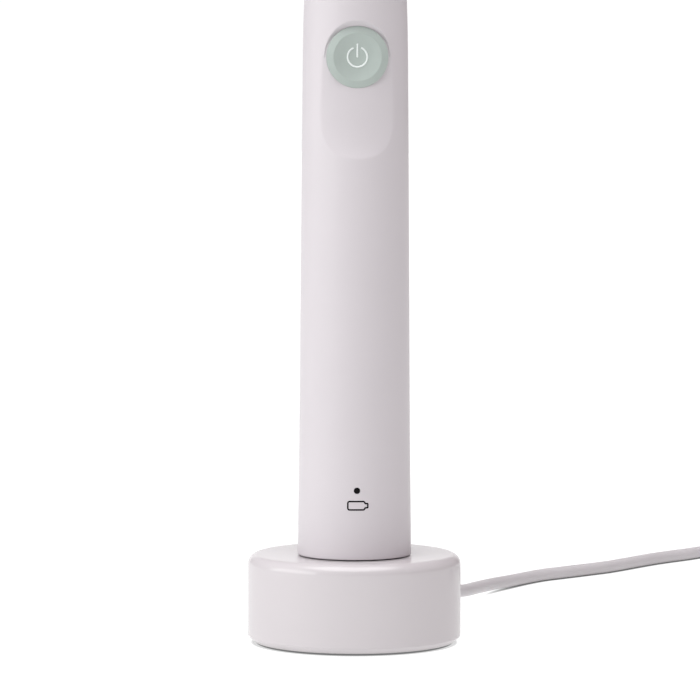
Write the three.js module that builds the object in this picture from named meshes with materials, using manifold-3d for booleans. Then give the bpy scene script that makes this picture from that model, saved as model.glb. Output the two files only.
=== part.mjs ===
// Rechargeable electric toothbrush standing on its round induction charger, with the charger's lead.
// Units are millimetres and +Z is up. The origin is the centre of the charger's underside, on the table.
// The front, where the power button is, faces -Y, and +X is to the right of it.
import * as THREE from "three";
import { mergeVertices } from "three/addons/utils/BufferGeometryUtils.js";
import Module from "manifold-3d";

const wasm = await Module();
wasm.setup();

// ---------- driving dimensions ----------

const GAP = 0.3; // clearance between neighbouring pieces
const ROUND = 32; // segments round a large turned piece
const SMALL_ROUND = 16; // segments round a small turned piece
const PAST = 3; // how far a cutter runs past the surface that it cuts

// Charger puck
const PUCK_HEIGHT = 22;
const PUCK_R_TOP = 26.4;
const PUCK_R_FOOT = 26.75;
const PUCK_FILLET = 2.3;
const PUCK_WALL = 1.8;
const PUCK_FLOAT = 0.5; // the wall's lower edge hangs this far above the table
const BEVEL_RISE = 1.2;
const BEVEL_RUN = 1.5;
const PEG_R = 5;
const PEG_HEIGHT = 9.3;
const PEG_BORE_R = 3.8;
const BASE_THICK = 2;
const FOOT_R = 3.3;
const FOOT_HEIGHT = 1.5;
const FOOT_CIRCLE_R = 18.5;
const FOOT_COUNT = 4;
const BOARD_R = 20.5;
const BOARD_Z = 4.2;
const BOARD_THICK = 1.6;
const BOBBIN = { bore: 3.7, hub: 4.7, flange: 11, low: 7, high: 18.5, flangeThick: 1 };
const FERRITE_R = 3.3;
const FERRITE_TOP = 29.6;

// Handle, whose heights are measured from its own lower edge
const HANDLE_FLOOR = PUCK_HEIGHT + GAP;
const HANDLE_TOP = 186;
const HANDLE_WALL = 1.6;
const HANDLE_RADII = [
  [0.6, 14.02],
  [30, 13.73],
  [70, 13.44],
  [115, 13.17],
  [132, 13.0],
  [146, 12.5],
  [160, 11.5],
  [172, 10.2],
  [183, 8.8],
];
const HANDLE_EDGE = 0.5; // rounding of the handle's lower edge
const NECK_HOLE_R = 4.1; // opening in the handle's top, round the drive shaft

// Button and thumb rest
const BUTTON_Z = 124.5;
const BUTTON_R = 7.75;
const BUTTON_RIM_Y = -12.15;
const BUTTON_BACK_Y = -9.3;
const BUTTON_TRAVEL = 0.5;
const RECESS_R = 8.6;
const RECESS_LOW_Z = 108.5;
const RECESS_FLOOR_Y = -11.67;
const RECESS_FLOOR_R = 22;
const PAD_INNER_Y = -10.2; // the wall's inner face behind the thumb rest
const LED_Z = 17.3;
const LED_R = 0.75;
const LED_FRONT_Y = -13.86;

// Inside the handle
const MAIN_BOARD = { halfWidth: 6, front: -7, back: -6, low: 13, high: 136 };
const CHIP_THICK = 1;
const SWITCH_FRONT_Y = -8.4;
const PLUNGER_R = 1.5;
const END_CAP = { outer: 12.05, wall: 1.15, low: 0.5, high: 8, floor: 2.6 };
const END_CAP_GROOVE = { r: 11.1, low: 4.6, high: 6.6 };
const RECEIVER = { inner: 6.9, outer: 9, low: 2.9, high: 9.4 };
const BATTERY = { r: 7.1, y: 1.4, low: 29.5, high: 78.5, nubR: 2.6, nubHeight: 1.4 };
const CARRIER = { outer: 10.7, inner: 9.5, low: 14, high: 146, bulkhead: 1.2, frontY: -5.6 };
const STATOR = { low: 84, high: 104, yoke: 4, halfWidth: 8.6, halfDepth: 3 };
const STATOR_LEG = { outer: 2.2, centre: 2.4 }; // an outer leg's width, and half the centre leg's
const MAGNET = { inner: 3.9, outer: 8.1, halfDepth: 2.6, low: 104.7, high: 107.2 };
const SHAFT_R = 2;
const SHAFT_LOW = 110.1;
const SHAFT_TOP = 208;
const SHAFT_FLAT_Y = -1.3;
const SHAFT_FLAT_LOW = 194;
const BUSH_OUTER_R = 4.2;
const LOWER_BUSH_Z = 118;
const UPPER_BUSH_Z = 164;
const BUSH_HEIGHT = 6;
const COLLAR = { r: 5, low: 149.6, high: 153 };
const SPRING = { r: 4, wireR: 0.5, low: 126.5, high: 148.5, turns: 4 };
const SEAL_LOW = 176.2;

// Brush head, in the handle's heights
const HEAD_LOW = HANDLE_TOP + 0.6;
const COLLAR_HEIGHT = 3.6;
const NECK_LOW = HEAD_LOW + COLLAR_HEIGHT + GAP;
const NECK_RADII = [
  [NECK_LOW, 8.25],
  [197, 7.5],
  [204, 6.2],
  [212, 4.9],
  [222, 4.1],
  [233, 3.7],
  [244, 3.5],
];
const PLATE = { halfWidth: 5.7, halfLength: 13, front: -2.6, back: 2.2, z: 243.2, bevel: 0.8 };
const BRISTLE_TIP_Y = -12.5;
const TUFT_R = 0.75;
const TUFT_PITCH = 2.1;
const FIELD_BASE = 0.35;

// Lead: a round low-voltage cable with its plug
const CORD_D = 3.4;
const CORD_EXIT_ANGLE = 66; // degrees from +X towards +Y
const CORD_EXIT_Z = 6.5;
const RELIEF_TIP = 38.5; // distance of the strain relief's tip from the charger's axis
const CORD_ROUTE = [
  [15.8, 35.4, 6.5],
  [18.9, 42.4, 6.3],
  [22.2, 49.8, 5.8],
  [25.9, 57.9, 5.0],
  [29.6, 65.4, 4.2],
  [33.3, 72.8, 3.5],
  [37.4, 83.6, 2.9],
  [42.7, 95.7, 2.3],
  [48.0, 105.2, 1.9],
  [53.1, 113.3, 1.7],
  [58.2, 119.8, 1.7],
  [63.1, 124.2, 1.7],
  [68.1, 128.5, 1.7],
  [73.1, 133.0, 1.7],
  [78.2, 137.6, 1.7],
  [83.5, 143.8, 1.7],
  [89.0, 150.7, 1.7],
  [94.3, 157.0, 1.7],
  [99.7, 162.5, 1.7],
  [105.0, 167.6, 1.7],
  [112.4, 175.2, 1.7],
];
const COIL = { x: 142.6, y: 168.6, inner: 12.6, outer: 28.5, low: 0.9, high: 7.9 };
const TIE = { angle: -105, width: 5, thick: 0.6, slack: 0.8 };
const TAIL_ROUTE = [
  [169.2, 152.6, 4.3],
  [169.0, 146.0, 3.5],
  [168.4, 139.5, 3.3],
  [167.4, 133.4, 3.7],
  [166.4, 128.2, 4.2],
];
const PLUG = { x: 166.3, y: 127.7, z: 4.2, angle: -101, width: 15.6, thick: 8.2, body: 24, taper: 9 };
const PLUG_SHELL = { width: 12, thick: 4.5, wall: 0.35, length: 12.5 };

// ---------- colours ----------

const FINISHES = {
  white_gloss: { color: 0xf1eeef, roughness: 0.22, metalness: 0 },
  white_soft: { color: 0xe9e6e7, roughness: 0.5, metalness: 0 },
  mint: { color: 0xb4c7be, roughness: 0.45, metalness: 0 },
  grey_plastic: { color: 0x9b9d9f, roughness: 0.5, metalness: 0 },
  black_lens: { color: 0x18181a, roughness: 0.2, metalness: 0 },
  rubber: { color: 0x55575a, roughness: 0.85, metalness: 0 },
  board_green: { color: 0x1f6b45, roughness: 0.5, metalness: 0 },
  chip_black: { color: 0x1d1d20, roughness: 0.4, metalness: 0 },
  copper: { color: 0xb8683a, roughness: 0.35, metalness: 1 },
  ferrite: { color: 0x3a3a3d, roughness: 0.7, metalness: 0.2 },
  steel: { color: 0xb9bcc0, roughness: 0.3, metalness: 1 },
  bronze: { color: 0xa9814a, roughness: 0.4, metalness: 1 },
  cell_blue: { color: 0x3c6ea5, roughness: 0.4, metalness: 0 },
  bristle_white: { color: 0xf4f4f2, roughness: 0.5, metalness: 0 },
  cable_white: { color: 0xe4e1e2, roughness: 0.5, metalness: 0 },
};

// ---------- helpers: three.js geometry, and manifold-3d for joins and cuts ----------

function solid(geometry) {
  const bare = geometry.index ? geometry.toNonIndexed() : geometry.clone();
  bare.deleteAttribute("normal");
  bare.deleteAttribute("uv");
  const merged = mergeVertices(bare, 1e-4);
  const index = merged.index.array;
  const kept = [];
  for (let i = 0; i < index.length; i += 3) {
    const [a, b, c] = [index[i], index[i + 1], index[i + 2]];
    if (a !== b && b !== c && c !== a) kept.push(a, b, c);
  }
  const vertProperties = new Float32Array(merged.attributes.position.array);
  const triVerts = new Uint32Array(kept);
  return new wasm.Manifold(new wasm.Mesh({ numProp: 3, vertProperties, triVerts }));
}

function geometryOf(manifold) {
  const mesh = manifold.getMesh();
  return new THREE.BufferGeometry()
    .setAttribute("position", new THREE.BufferAttribute(new Float32Array(mesh.vertProperties), 3))
    .setIndex(new THREE.BufferAttribute(new Uint32Array(mesh.triVerts), 1));
}

function join(...geometries) {
  return geometryOf(geometries.map(solid).reduce((whole, next) => whole.add(next)));
}

function cut(geometry, ...cutters) {
  return geometryOf(cutters.map(solid).reduce((whole, next) => whole.subtract(next), solid(geometry)));
}

// A profile of [radius, height] pairs turned about Z. It starts and ends on the axis, or closes on itself.
function turned(profile, segments = ROUND) {
  const points = profile.map(([r, z]) => new THREE.Vector2(r, z));
  return new THREE.LatheGeometry(points, segments).rotateX(Math.PI / 2);
}

function ring(inner, outer, low, high, segments = ROUND) {
  const profile = [
    [inner, low],
    [outer, low],
    [outer, high],
    [inner, high],
    [inner, low],
  ];
  return turned(profile, segments);
}

function disc(r, low, high, segments = ROUND) {
  return new THREE.CylinderGeometry(r, r, high - low, segments)
    .rotateX(Math.PI / 2)
    .translate(0, 0, (low + high) / 2);
}

// A round bar along Y, from one y to another.
function barAlongY(r, fromY, toY, x, z, segments = SMALL_ROUND) {
  return new THREE.CylinderGeometry(r, r, toY - fromY, segments).translate(x, (fromY + toY) / 2, z);
}

function box(x0, x1, y0, y1, z0, z1) {
  const middle = [(x0 + x1) / 2, (y0 + y1) / 2, (z0 + z1) / 2];
  return new THREE.BoxGeometry(x1 - x0, y1 - y0, z1 - z0).translate(...middle);
}

// Points on an arc of a profile, both ends included. Angles are in degrees.
function arc(centreR, centreZ, radius, from, to, steps) {
  return Array.from({ length: steps + 1 }, (_, i) => {
    const a = THREE.MathUtils.degToRad(from + ((to - from) * i) / steps);
    return [centreR + radius * Math.cos(a), centreZ + radius * Math.sin(a)];
  });
}

// A smooth profile through [height, radius] knots, as [radius, height] pairs.
function smoothProfile(knots, steps) {
  const curve = new THREE.SplineCurve(knots.map(([z, r]) => new THREE.Vector2(r, z)));
  return curve.getPoints(steps).map((p) => [p.x, p.y]);
}

// A flat outline pushed along Z from low to high.
function slab(shape, low, high, curveSegments = 10) {
  const settings = { depth: high - low, bevelEnabled: false, curveSegments };
  return new THREE.ExtrudeGeometry(shape, settings).translate(0, 0, low);
}

// An outline drawn in X and Z, pushed along Y from fromY to toY.
function slabAlongY(shape, fromY, toY, curveSegments = 10) {
  return slab(shape, -toY, -fromY, curveSegments).rotateX(Math.PI / 2);
}

// A round-ended slot outline, upright, with its two arc centres at lowCentre and highCentre.
function slotShape(r, lowCentre, highCentre) {
  const shape = new THREE.Shape();
  shape.absarc(0, highCentre, r, 0, Math.PI, false);
  shape.absarc(0, lowCentre, r, Math.PI, 2 * Math.PI, false);
  shape.closePath();
  return shape;
}

function roundedRectangle(halfWidth, halfHeight, r) {
  const [w, h] = [halfWidth - r, halfHeight - r];
  const shape = new THREE.Shape();
  shape.absarc(w, h, r, 0, Math.PI / 2, false);
  shape.absarc(-w, h, r, Math.PI / 2, Math.PI, false);
  shape.absarc(-w, -h, r, Math.PI, 1.5 * Math.PI, false);
  shape.absarc(w, -h, r, 1.5 * Math.PI, 2 * Math.PI, false);
  shape.closePath();
  return shape;
}

// A round cable along a list of [x, y, z] points.
function cable(route, diameter, steps) {
  const section = new THREE.Shape();
  const sides = 8;
  for (let i = 0; i < sides; i += 1) {
    const a = (2 * Math.PI * (i + 0.5)) / sides;
    const [x, y] = [(diameter / 2) * Math.cos(a), (diameter / 2) * Math.sin(a)];
    if (i === 0) section.moveTo(x, y);
    else section.lineTo(x, y);
  }
  section.closePath();
  const extrudePath = new THREE.CatmullRomCurve3(route.map((p) => new THREE.Vector3(...p)));
  return new THREE.ExtrudeGeometry(section, { steps, extrudePath });
}

function piece(name, geometry, finish) {
  const mesh = new THREE.Mesh(geometry, new THREE.MeshStandardMaterial(FINISHES[finish]));
  mesh.name = name;
  return mesh;
}

function radians(degrees) {
  return THREE.MathUtils.degToRad(degrees);
}

// ---------- charger ----------

function chargerHousing() {
  const roof = PUCK_HEIGHT - 2;
  const filletZ = PUCK_HEIGHT - PUCK_FILLET;
  const pegTop = PUCK_HEIGHT + PEG_HEIGHT;
  const innerFoot = PUCK_R_FOOT - PUCK_WALL;
  const body = turned([
    [0, pegTop - 1.3],
    [PEG_BORE_R, pegTop - 1.3],
    [PEG_BORE_R, roof],
    [PUCK_R_TOP - PUCK_WALL - 2, roof],
    [PUCK_R_TOP - PUCK_WALL, roof - 2],
    [innerFoot, PUCK_FLOAT],
    [PUCK_R_FOOT - BEVEL_RUN, PUCK_FLOAT],
    [PUCK_R_FOOT, PUCK_FLOAT + BEVEL_RISE],
    ...arc(PUCK_R_TOP - PUCK_FILLET, filletZ, PUCK_FILLET, 0, 90, 6),
    [PEG_R + 0.8, PUCK_HEIGHT],
    [PEG_R, PUCK_HEIGHT + 0.8],
    ...arc(PEG_R - 0.8, pegTop - 0.8, 0.8, 0, 90, 3),
    [0, pegTop],
  ]);
  const exitHole = new THREE.CylinderGeometry(2.9, 2.9, 10, SMALL_ROUND)
    .rotateZ(-Math.PI / 2)
    .translate(PUCK_R_FOOT, 0, CORD_EXIT_Z)
    .rotateZ(radians(CORD_EXIT_ANGLE));
  return cut(body, exitHole);
}

function footPlaces() {
  return Array.from({ length: FOOT_COUNT }, (_, i) => {
    const a = radians(45 + (360 * i) / FOOT_COUNT);
    return [FOOT_CIRCLE_R * Math.cos(a), FOOT_CIRCLE_R * Math.sin(a)];
  });
}

function chargerBasePlate() {
  const low = PUCK_FLOAT + 0.4;
  const plate = disc(PUCK_R_FOOT - PUCK_WALL - GAP, low, low + BASE_THICK);
  const posts = [90, 210, 330].map((a) => {
    const place = [17 * Math.cos(radians(a)), 17 * Math.sin(radians(a))];
    return disc(1.6, low + 1, BOARD_Z - GAP, SMALL_ROUND).translate(...place, 0);
  });
  const pockets = footPlaces().map(([x, y]) =>
    disc(FOOT_R + GAP, low - PAST, FOOT_HEIGHT + GAP, SMALL_ROUND).translate(x, y, 0),
  );
  return cut(join(plate, ...posts), ...pockets);
}

// A round board with its back cut straight, so that it clears the strain relief.
function chargerBoard() {
  const blank = disc(BOARD_R, BOARD_Z, BOARD_Z + BOARD_THICK);
  const backY = 18;
  return cut(blank, box(-24, 24, backY, BOARD_R + PAST, BOARD_Z - PAST, BOARD_Z + PAST));
}

function coilBobbin() {
  const { bore, hub, flange, low, high, flangeThick } = BOBBIN;
  return turned(
    [
      [bore, low],
      [flange, low],
      [flange, low + flangeThick],
      [hub, low + flangeThick],
      [hub, high - flangeThick],
      [flange, high - flangeThick],
      [flange, high],
      [bore, high],
      [bore, low],
    ],
    28,
  );
}

function primaryCoil() {
  const { hub, flange, low, high, flangeThick } = BOBBIN;
  return ring(hub + GAP, flange - 0.4, low + flangeThick + GAP, high - flangeThick - GAP, 28);
}

function strainRelief() {
  const start = PUCK_R_FOOT - PUCK_WALL - 2;
  const profile = [
    [0, start],
    [3.4, start],
    [3.4, start + 1.5],
    [2.6, start + 1.5],
    [2.6, PUCK_R_FOOT + GAP],
    [3.1, PUCK_R_FOOT + GAP],
    [3.0, PUCK_R_FOOT + 2],
    [2.1, RELIEF_TIP],
    [0, RELIEF_TIP],
  ];
  return turned(profile, SMALL_ROUND)
    .rotateY(Math.PI / 2)
    .rotateZ(radians(CORD_EXIT_ANGLE))
    .translate(0, 0, CORD_EXIT_Z);
}

function coilTie() {
  const halfWidth = (COIL.outer - COIL.inner) / 2 + TIE.slack + TIE.thick;
  const halfHeight = (COIL.high - COIL.low) / 2 + GAP + TIE.thick;
  const band = roundedRectangle(halfWidth, halfHeight, 1.6);
  band.holes.push(roundedRectangle(halfWidth - TIE.thick, halfHeight - TIE.thick, 1));
  return slab(band, -TIE.width / 2, TIE.width / 2, 4)
    .rotateX(Math.PI / 2)
    .translate((COIL.inner + COIL.outer) / 2, 0, (COIL.low + COIL.high) / 2)
    .rotateZ(radians(TIE.angle))
    .translate(COIL.x, COIL.y, 0);
}

// The plug's pieces are made along +X from the cable end, then laid in place on the table.
function layPlug(geometry) {
  return geometry.rotateZ(radians(PLUG.angle)).translate(PLUG.x, PLUG.y, PLUG.z);
}

function plugOvermould() {
  const outline = roundedRectangle(PLUG.thick / 2, PLUG.width / 2, 1.8);
  const body = slab(outline, PLUG.taper, PLUG.taper + PLUG.body, 4);
  const neck = turned(
    [
      [0, 0],
      [2.3, 0],
      [3.2, PLUG.taper],
      [3.2, PLUG.taper + 1],
      [0, PLUG.taper + 1],
    ],
    SMALL_ROUND,
  );
  const laid = join(body, neck).rotateY(Math.PI / 2);
  return layPlug(laid);
}

function plugShell() {
  const from = PLUG.taper + PLUG.body + GAP;
  const outline = roundedRectangle(PLUG_SHELL.thick / 2, PLUG_SHELL.width / 2, 0.6);
  const inside = [PLUG_SHELL.thick / 2 - PLUG_SHELL.wall, PLUG_SHELL.width / 2 - PLUG_SHELL.wall];
  outline.holes.push(roundedRectangle(...inside, 0.4));
  return layPlug(slab(outline, from, from + PLUG_SHELL.length, 3).rotateY(Math.PI / 2));
}

function plugTongue() {
  const from = PLUG.taper + PLUG.body + GAP;
  const halfWidth = PLUG_SHELL.width / 2 - PLUG_SHELL.wall - GAP;
  const low = -PLUG_SHELL.thick / 2 + PLUG_SHELL.wall + GAP;
  return layPlug(box(from, from + PLUG_SHELL.length - 0.8, -halfWidth, halfWidth, low, low + 1.5));
}

function chargerPieces() {
  const boardTop = BOARD_Z + BOARD_THICK + GAP;
  const feet = footPlaces().map(([x, y], i) => {
    const foot = disc(FOOT_R, 0, FOOT_HEIGHT, SMALL_ROUND).translate(x, y, 0);
    return piece("foot_pad_" + (i + 1), foot, "rubber");
  });
  const capacitor = disc(3.1, boardTop, 14, SMALL_ROUND).translate(-15, 3, 0);
  const choke = disc(3.2, boardTop, 11, SMALL_ROUND).translate(13, -7.5, 0);
  const coilRing = ring(COIL.inner, COIL.outer, COIL.low, COIL.high, 24).translate(COIL.x, COIL.y, 0);
  return [
    piece("charger_housing", chargerHousing(), "white_gloss"),
    piece("charger_base_plate", chargerBasePlate(), "white_soft"),
    ...feet,
    piece("charger_board", chargerBoard(), "board_green"),
    piece("coil_bobbin", coilBobbin(), "grey_plastic"),
    piece("primary_coil", primaryCoil(), "copper"),
    piece("ferrite_core", disc(FERRITE_R, boardTop, FERRITE_TOP, SMALL_ROUND), "ferrite"),
    piece("smoothing_capacitor", capacitor, "chip_black"),
    piece("filter_choke", choke, "ferrite"),
    piece("charger_chip", box(-1, 5, -18.5, -12.5, boardTop, boardTop + 1.2), "chip_black"),
    piece("strain_relief", strainRelief(), "cable_white"),
    piece("cord", cable(CORD_ROUTE, CORD_D, 32), "cable_white"),
    piece("cord_coil", coilRing, "cable_white"),
    piece("coil_tie", coilTie(), "rubber"),
    piece("cord_tail", cable(TAIL_ROUTE, CORD_D, 8), "cable_white"),
    piece("plug_overmould", plugOvermould(), "white_soft"),
    piece("plug_shell", plugShell(), "steel"),
    piece("plug_tongue", plugTongue(), "white_soft"),
  ];
}

// ---------- handle ----------

function handleShell() {
  const outside = smoothProfile(HANDLE_RADII, 14);
  const [edgeR] = outside[0];
  const blank = turned([
    [0, 0],
    [edgeR - HANDLE_EDGE, 0],
    ...outside,
    [8.1, HANDLE_TOP - 0.9],
    [7.2, HANDLE_TOP],
    [0, HANDLE_TOP],
  ]);
  const inside = HANDLE_RADII.map(([z, r]) => [r - HANDLE_WALL, z]);
  const cavity = turned([
    [0, -PAST],
    [edgeR - HANDLE_WALL, -PAST],
    ...inside.slice(0, -1),
    [7.6, HANDLE_TOP - 8],
    [NECK_HOLE_R, HANDLE_TOP - 5],
    [NECK_HOLE_R, HANDLE_TOP + PAST],
    [0, HANDLE_TOP + PAST],
  ]);
  const room = cut(cavity, box(-13, 13, -15, PAD_INNER_Y, 95, 140));
  const slot = slabAlongY(slotShape(RECESS_R, RECESS_LOW_Z, BUTTON_Z), -16, -8, 10);
  const floor = disc(RECESS_FLOOR_R, RECESS_LOW_Z - 12, BUTTON_Z + 12, 60);
  const thumbRest = cut(slot, floor.translate(0, RECESS_FLOOR_Y + RECESS_FLOOR_R, 0));
  const buttonHole = barAlongY(BUTTON_R + GAP, -16, -7, 0, BUTTON_Z, 28);
  const lightHole = barAlongY(LED_R + GAP, -16, -9, 0, LED_Z, 12);
  return cut(blank, room, thumbRest, buttonHole, lightHole);
}

// The end cap closes the handle from below and holds the socket that fits over the charger's peg.
function endCap() {
  const { outer, wall, low, high, floor } = END_CAP;
  const groove = END_CAP_GROOVE;
  const socketR = PEG_R + 0.4;
  const socketTop = PEG_HEIGHT + GAP;
  const tubeR = socketR + 1.1;
  const tubeTop = socketTop + 1.3;
  return turned([
    [socketR, low],
    [outer, low],
    [outer, groove.low],
    [groove.r, groove.low],
    [groove.r, groove.high],
    [outer, groove.high],
    [outer, high],
    [outer - wall, high],
    [outer - wall, floor],
    [tubeR, floor],
    [tubeR, tubeTop],
    [0, tubeTop],
    [0, socketTop],
    [socketR, socketTop],
    [socketR, low],
  ]);
}

// The seal sits in the end cap's groove and presses on the shell's inner face.
function endCapSeal() {
  const { r, low, high } = END_CAP_GROOVE;
  return ring(r + GAP, END_CAP.outer + 0.1, low + GAP, high - GAP);
}

// A dished cap on a cross strip whose ends reach behind the shell and keep the button in.
function powerButton() {
  const rim = BUTTON_BACK_Y - BUTTON_RIM_Y;
  const cap = turned(
    [
      [0, 0],
      [BUTTON_R, 0],
      [BUTTON_R, rim - 0.55],
      [BUTTON_R - 0.5, rim],
      [6.3, rim],
      [5.6, rim - 0.35],
      [0, rim - 0.6],
    ],
    28,
  )
    .rotateX(Math.PI / 2)
    .translate(0, BUTTON_BACK_Y, BUTTON_Z);
  const reach = BUTTON_R + 1.55;
  const strip = box(-4, 4, BUTTON_BACK_Y - 0.6, BUTTON_BACK_Y, BUTTON_Z - reach, BUTTON_Z + reach);
  return join(cap, strip);
}

function switchBody() {
  const back = MAIN_BOARD.front - GAP;
  const body = box(-3, 3, SWITCH_FRONT_Y, back, BUTTON_Z - 3, BUTTON_Z + 3);
  const pocketBack = SWITCH_FRONT_Y + BUTTON_TRAVEL + GAP;
  return cut(body, barAlongY(PLUNGER_R + GAP, SWITCH_FRONT_Y - PAST, pocketBack, 0, BUTTON_Z));
}

function crescent(outer, inner, fromDegrees, toDegrees) {
  const shape = new THREE.Shape();
  shape.absarc(0, 0, outer, radians(fromDegrees), radians(toDegrees), false);
  shape.absarc(0, 0, inner, radians(toDegrees), radians(fromDegrees), true);
  shape.closePath();
  return shape;
}

// A disc with its front cut straight, so that it clears the main board.
function trimmedDisc(r, low, high) {
  return cut(disc(r, low, high, 24), box(-15, 15, -15, CARRIER.frontY, low - PAST, high + PAST));
}

// The carrier is a trough behind the works, with a bulkhead at each end of the battery.
function carrier() {
  const { outer, inner, low, high, bulkhead } = CARRIER;
  const trough = slab(crescent(outer, inner, 24, 156), low, high, 8);
  const lowWall = trimmedDisc(outer, BATTERY.low - 2.4, BATTERY.low - 2.4 + bulkhead);
  const midWall = trimmedDisc(outer, BATTERY.high + 2.6, BATTERY.high + 2.6 + bulkhead);
  return join(trough, lowWall, midWall);
}

function batteryCell() {
  const can = disc(BATTERY.r, BATTERY.low, BATTERY.high, 28);
  const nub = disc(BATTERY.nubR, BATTERY.high - 1, BATTERY.high + BATTERY.nubHeight, SMALL_ROUND);
  return join(can, nub).translate(0, BATTERY.y, 0);
}

// A laminated core shaped like an E standing on its back, with its three legs pointing up.
function statorCore() {
  const { low, high, yoke, halfWidth, halfDepth } = STATOR;
  const { outer, centre } = STATOR_LEG;
  const legLow = low + yoke / 2;
  return join(
    box(-halfWidth, halfWidth, -halfDepth, halfDepth, low, low + yoke),
    box(-halfWidth, -halfWidth + outer, -halfDepth, halfDepth, legLow, high),
    box(-centre, centre, -halfDepth, halfDepth, legLow, high),
    box(halfWidth - outer, halfWidth, -halfDepth, halfDepth, legLow, high),
  );
}

function driveCoil() {
  const winding = roundedRectangle(5.9, 5.5, 2);
  winding.holes.push(roundedRectangle(STATOR_LEG.centre + GAP, STATOR.halfDepth + GAP, 0.5));
  return slab(winding, STATOR.low + STATOR.yoke + GAP, STATOR.high - 1, 4);
}

function rotor() {
  const low = MAGNET.high + GAP;
  const plate = box(-8.4, 8.4, -3.4, 3.4, low, low + 2);
  const hub = disc(4.2, low + 1, low + 6.5, SMALL_ROUND);
  return cut(join(plate, hub), disc(SHAFT_R + GAP, SHAFT_LOW - GAP, low + 10, SMALL_ROUND));
}

function driveShaft() {
  const bar = turned(
    [
      [0, SHAFT_LOW],
      [SHAFT_R, SHAFT_LOW],
      [SHAFT_R, SHAFT_TOP - 0.5],
      [SHAFT_R - 0.5, SHAFT_TOP],
      [0, SHAFT_TOP],
    ],
    SMALL_ROUND,
  );
  return cut(bar, box(-4, 4, -4, SHAFT_FLAT_Y, SHAFT_FLAT_LOW, SHAFT_TOP + PAST));
}

function returnSpring() {
  const { r, wireR, low, high, turns } = SPRING;
  const steps = 10 * turns;
  const coilPath = Array.from({ length: steps + 1 }, (_, i) => {
    const a = (2 * Math.PI * turns * i) / steps;
    return new THREE.Vector3(r * Math.cos(a), r * Math.sin(a), low + ((high - low) * i) / steps);
  });
  const section = new THREE.Shape().absarc(0, 0, wireR, 0, 2 * Math.PI, false);
  const extrudePath = new THREE.CatmullRomCurve3(coilPath);
  return new THREE.ExtrudeGeometry(section, { steps, extrudePath, curveSegments: 3 });
}

function shaftSeal() {
  const bore = SHAFT_R + GAP;
  const sleeve = NECK_HOLE_R - GAP;
  const flange = 5.6;
  return turned(
    [
      [bore, SEAL_LOW],
      [flange, SEAL_LOW],
      [flange, SEAL_LOW + 1.6],
      [sleeve, SEAL_LOW + 2.4],
      [sleeve, HANDLE_TOP + 0.1],
      [bore + 0.6, HANDLE_TOP + 0.4],
      [bore, HANDLE_TOP + 0.4],
      [bore, SEAL_LOW],
    ],
    24,
  );
}

function mainBoard() {
  const { halfWidth, front, back, low, high } = MAIN_BOARD;
  return box(-halfWidth, halfWidth, front, back, low, high);
}

function lowerBushPlate() {
  const plate = trimmedDisc(CARRIER.inner - GAP, LOWER_BUSH_Z + 1, LOWER_BUSH_Z + 4);
  const bushHole = disc(BUSH_OUTER_R + GAP, LOWER_BUSH_Z - PAST, LOWER_BUSH_Z + BUSH_HEIGHT + PAST, 24);
  return cut(plate, bushHole);
}

function bush(low) {
  return ring(SHAFT_R + GAP, BUSH_OUTER_R, low, low + BUSH_HEIGHT, 24);
}

// A box standing on the front of the main board.
function chipOnBoard(halfWidth, thick, low, high) {
  const back = MAIN_BOARD.front - GAP;
  return box(-halfWidth, halfWidth, back - thick, back, low, high);
}

function handlePieces() {
  const ledThick = 0.6;
  const lightGuideBack = MAIN_BOARD.front - 2 * GAP - ledThick;
  const lightGuide = barAlongY(LED_R, LED_FRONT_Y, lightGuideBack, 0, LED_Z, 12);
  const receiverCoil = ring(RECEIVER.inner, RECEIVER.outer, RECEIVER.low, RECEIVER.high, 28);
  const sleeve = ring(BUSH_OUTER_R + GAP, 8.2, UPPER_BUSH_Z - 1, UPPER_BUSH_Z + BUSH_HEIGHT, 28);
  const tabTop = BATTERY.high + BATTERY.nubHeight + GAP;
  return [
    piece("handle_shell", handleShell(), "white_gloss"),
    piece("end_cap", endCap(), "white_soft"),
    piece("end_cap_seal", endCapSeal(), "rubber"),
    piece("receiver_coil", receiverCoil, "copper"),
    piece("carrier", carrier(), "grey_plastic"),
    piece("battery_cell", batteryCell(), "cell_blue"),
    piece("battery_tab_lower", box(-2, 2, -5, 5, BATTERY.low - 0.8, BATTERY.low - GAP), "steel"),
    piece("battery_tab_upper", box(-2, 2, -5, 4, tabTop, tabTop + 0.5), "steel"),
    piece("main_board", mainBoard(), "board_green"),
    piece("control_chip", chipOnBoard(3, CHIP_THICK, 60, 66), "chip_black"),
    piece("motor_driver_chip", chipOnBoard(2.5, CHIP_THICK, 96, 101), "chip_black"),
    piece("charge_led", chipOnBoard(0.8, ledThick, LED_Z - 0.5, LED_Z + 0.5), "bristle_white"),
    piece("charge_light_guide", lightGuide, "black_lens"),
    piece("switch_body", switchBody(), "chip_black"),
    piece("stator_core", statorCore(), "ferrite"),
    piece("drive_coil", driveCoil(), "copper"),
    piece("lower_bush", bush(LOWER_BUSH_Z), "bronze"),
    piece("upper_bush", bush(UPPER_BUSH_Z), "bronze"),
    piece("lower_bush_plate", lowerBushPlate(), "grey_plastic"),
    piece("upper_bush_sleeve", sleeve, "grey_plastic"),
    piece("return_spring", returnSpring(), "steel"),
    piece("shaft_seal", shaftSeal(), "rubber"),
  ];
}

function drivePieces() {
  const { inner, outer, halfDepth, low, high } = MAGNET;
  return [
    piece("drive_shaft", driveShaft(), "steel"),
    piece("rotor", rotor(), "steel"),
    piece("rotor_magnet_left", box(-outer, -inner, -halfDepth, halfDepth, low, high), "steel"),
    piece("rotor_magnet_right", box(inner, outer, -halfDepth, halfDepth, low, high), "steel"),
    piece("shaft_collar", ring(SHAFT_R + GAP, COLLAR.r, COLLAR.low, COLLAR.high, 24), "steel"),
  ];
}

function buttonPieces() {
  return [piece("power_button", powerButton(), "mint")];
}

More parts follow.
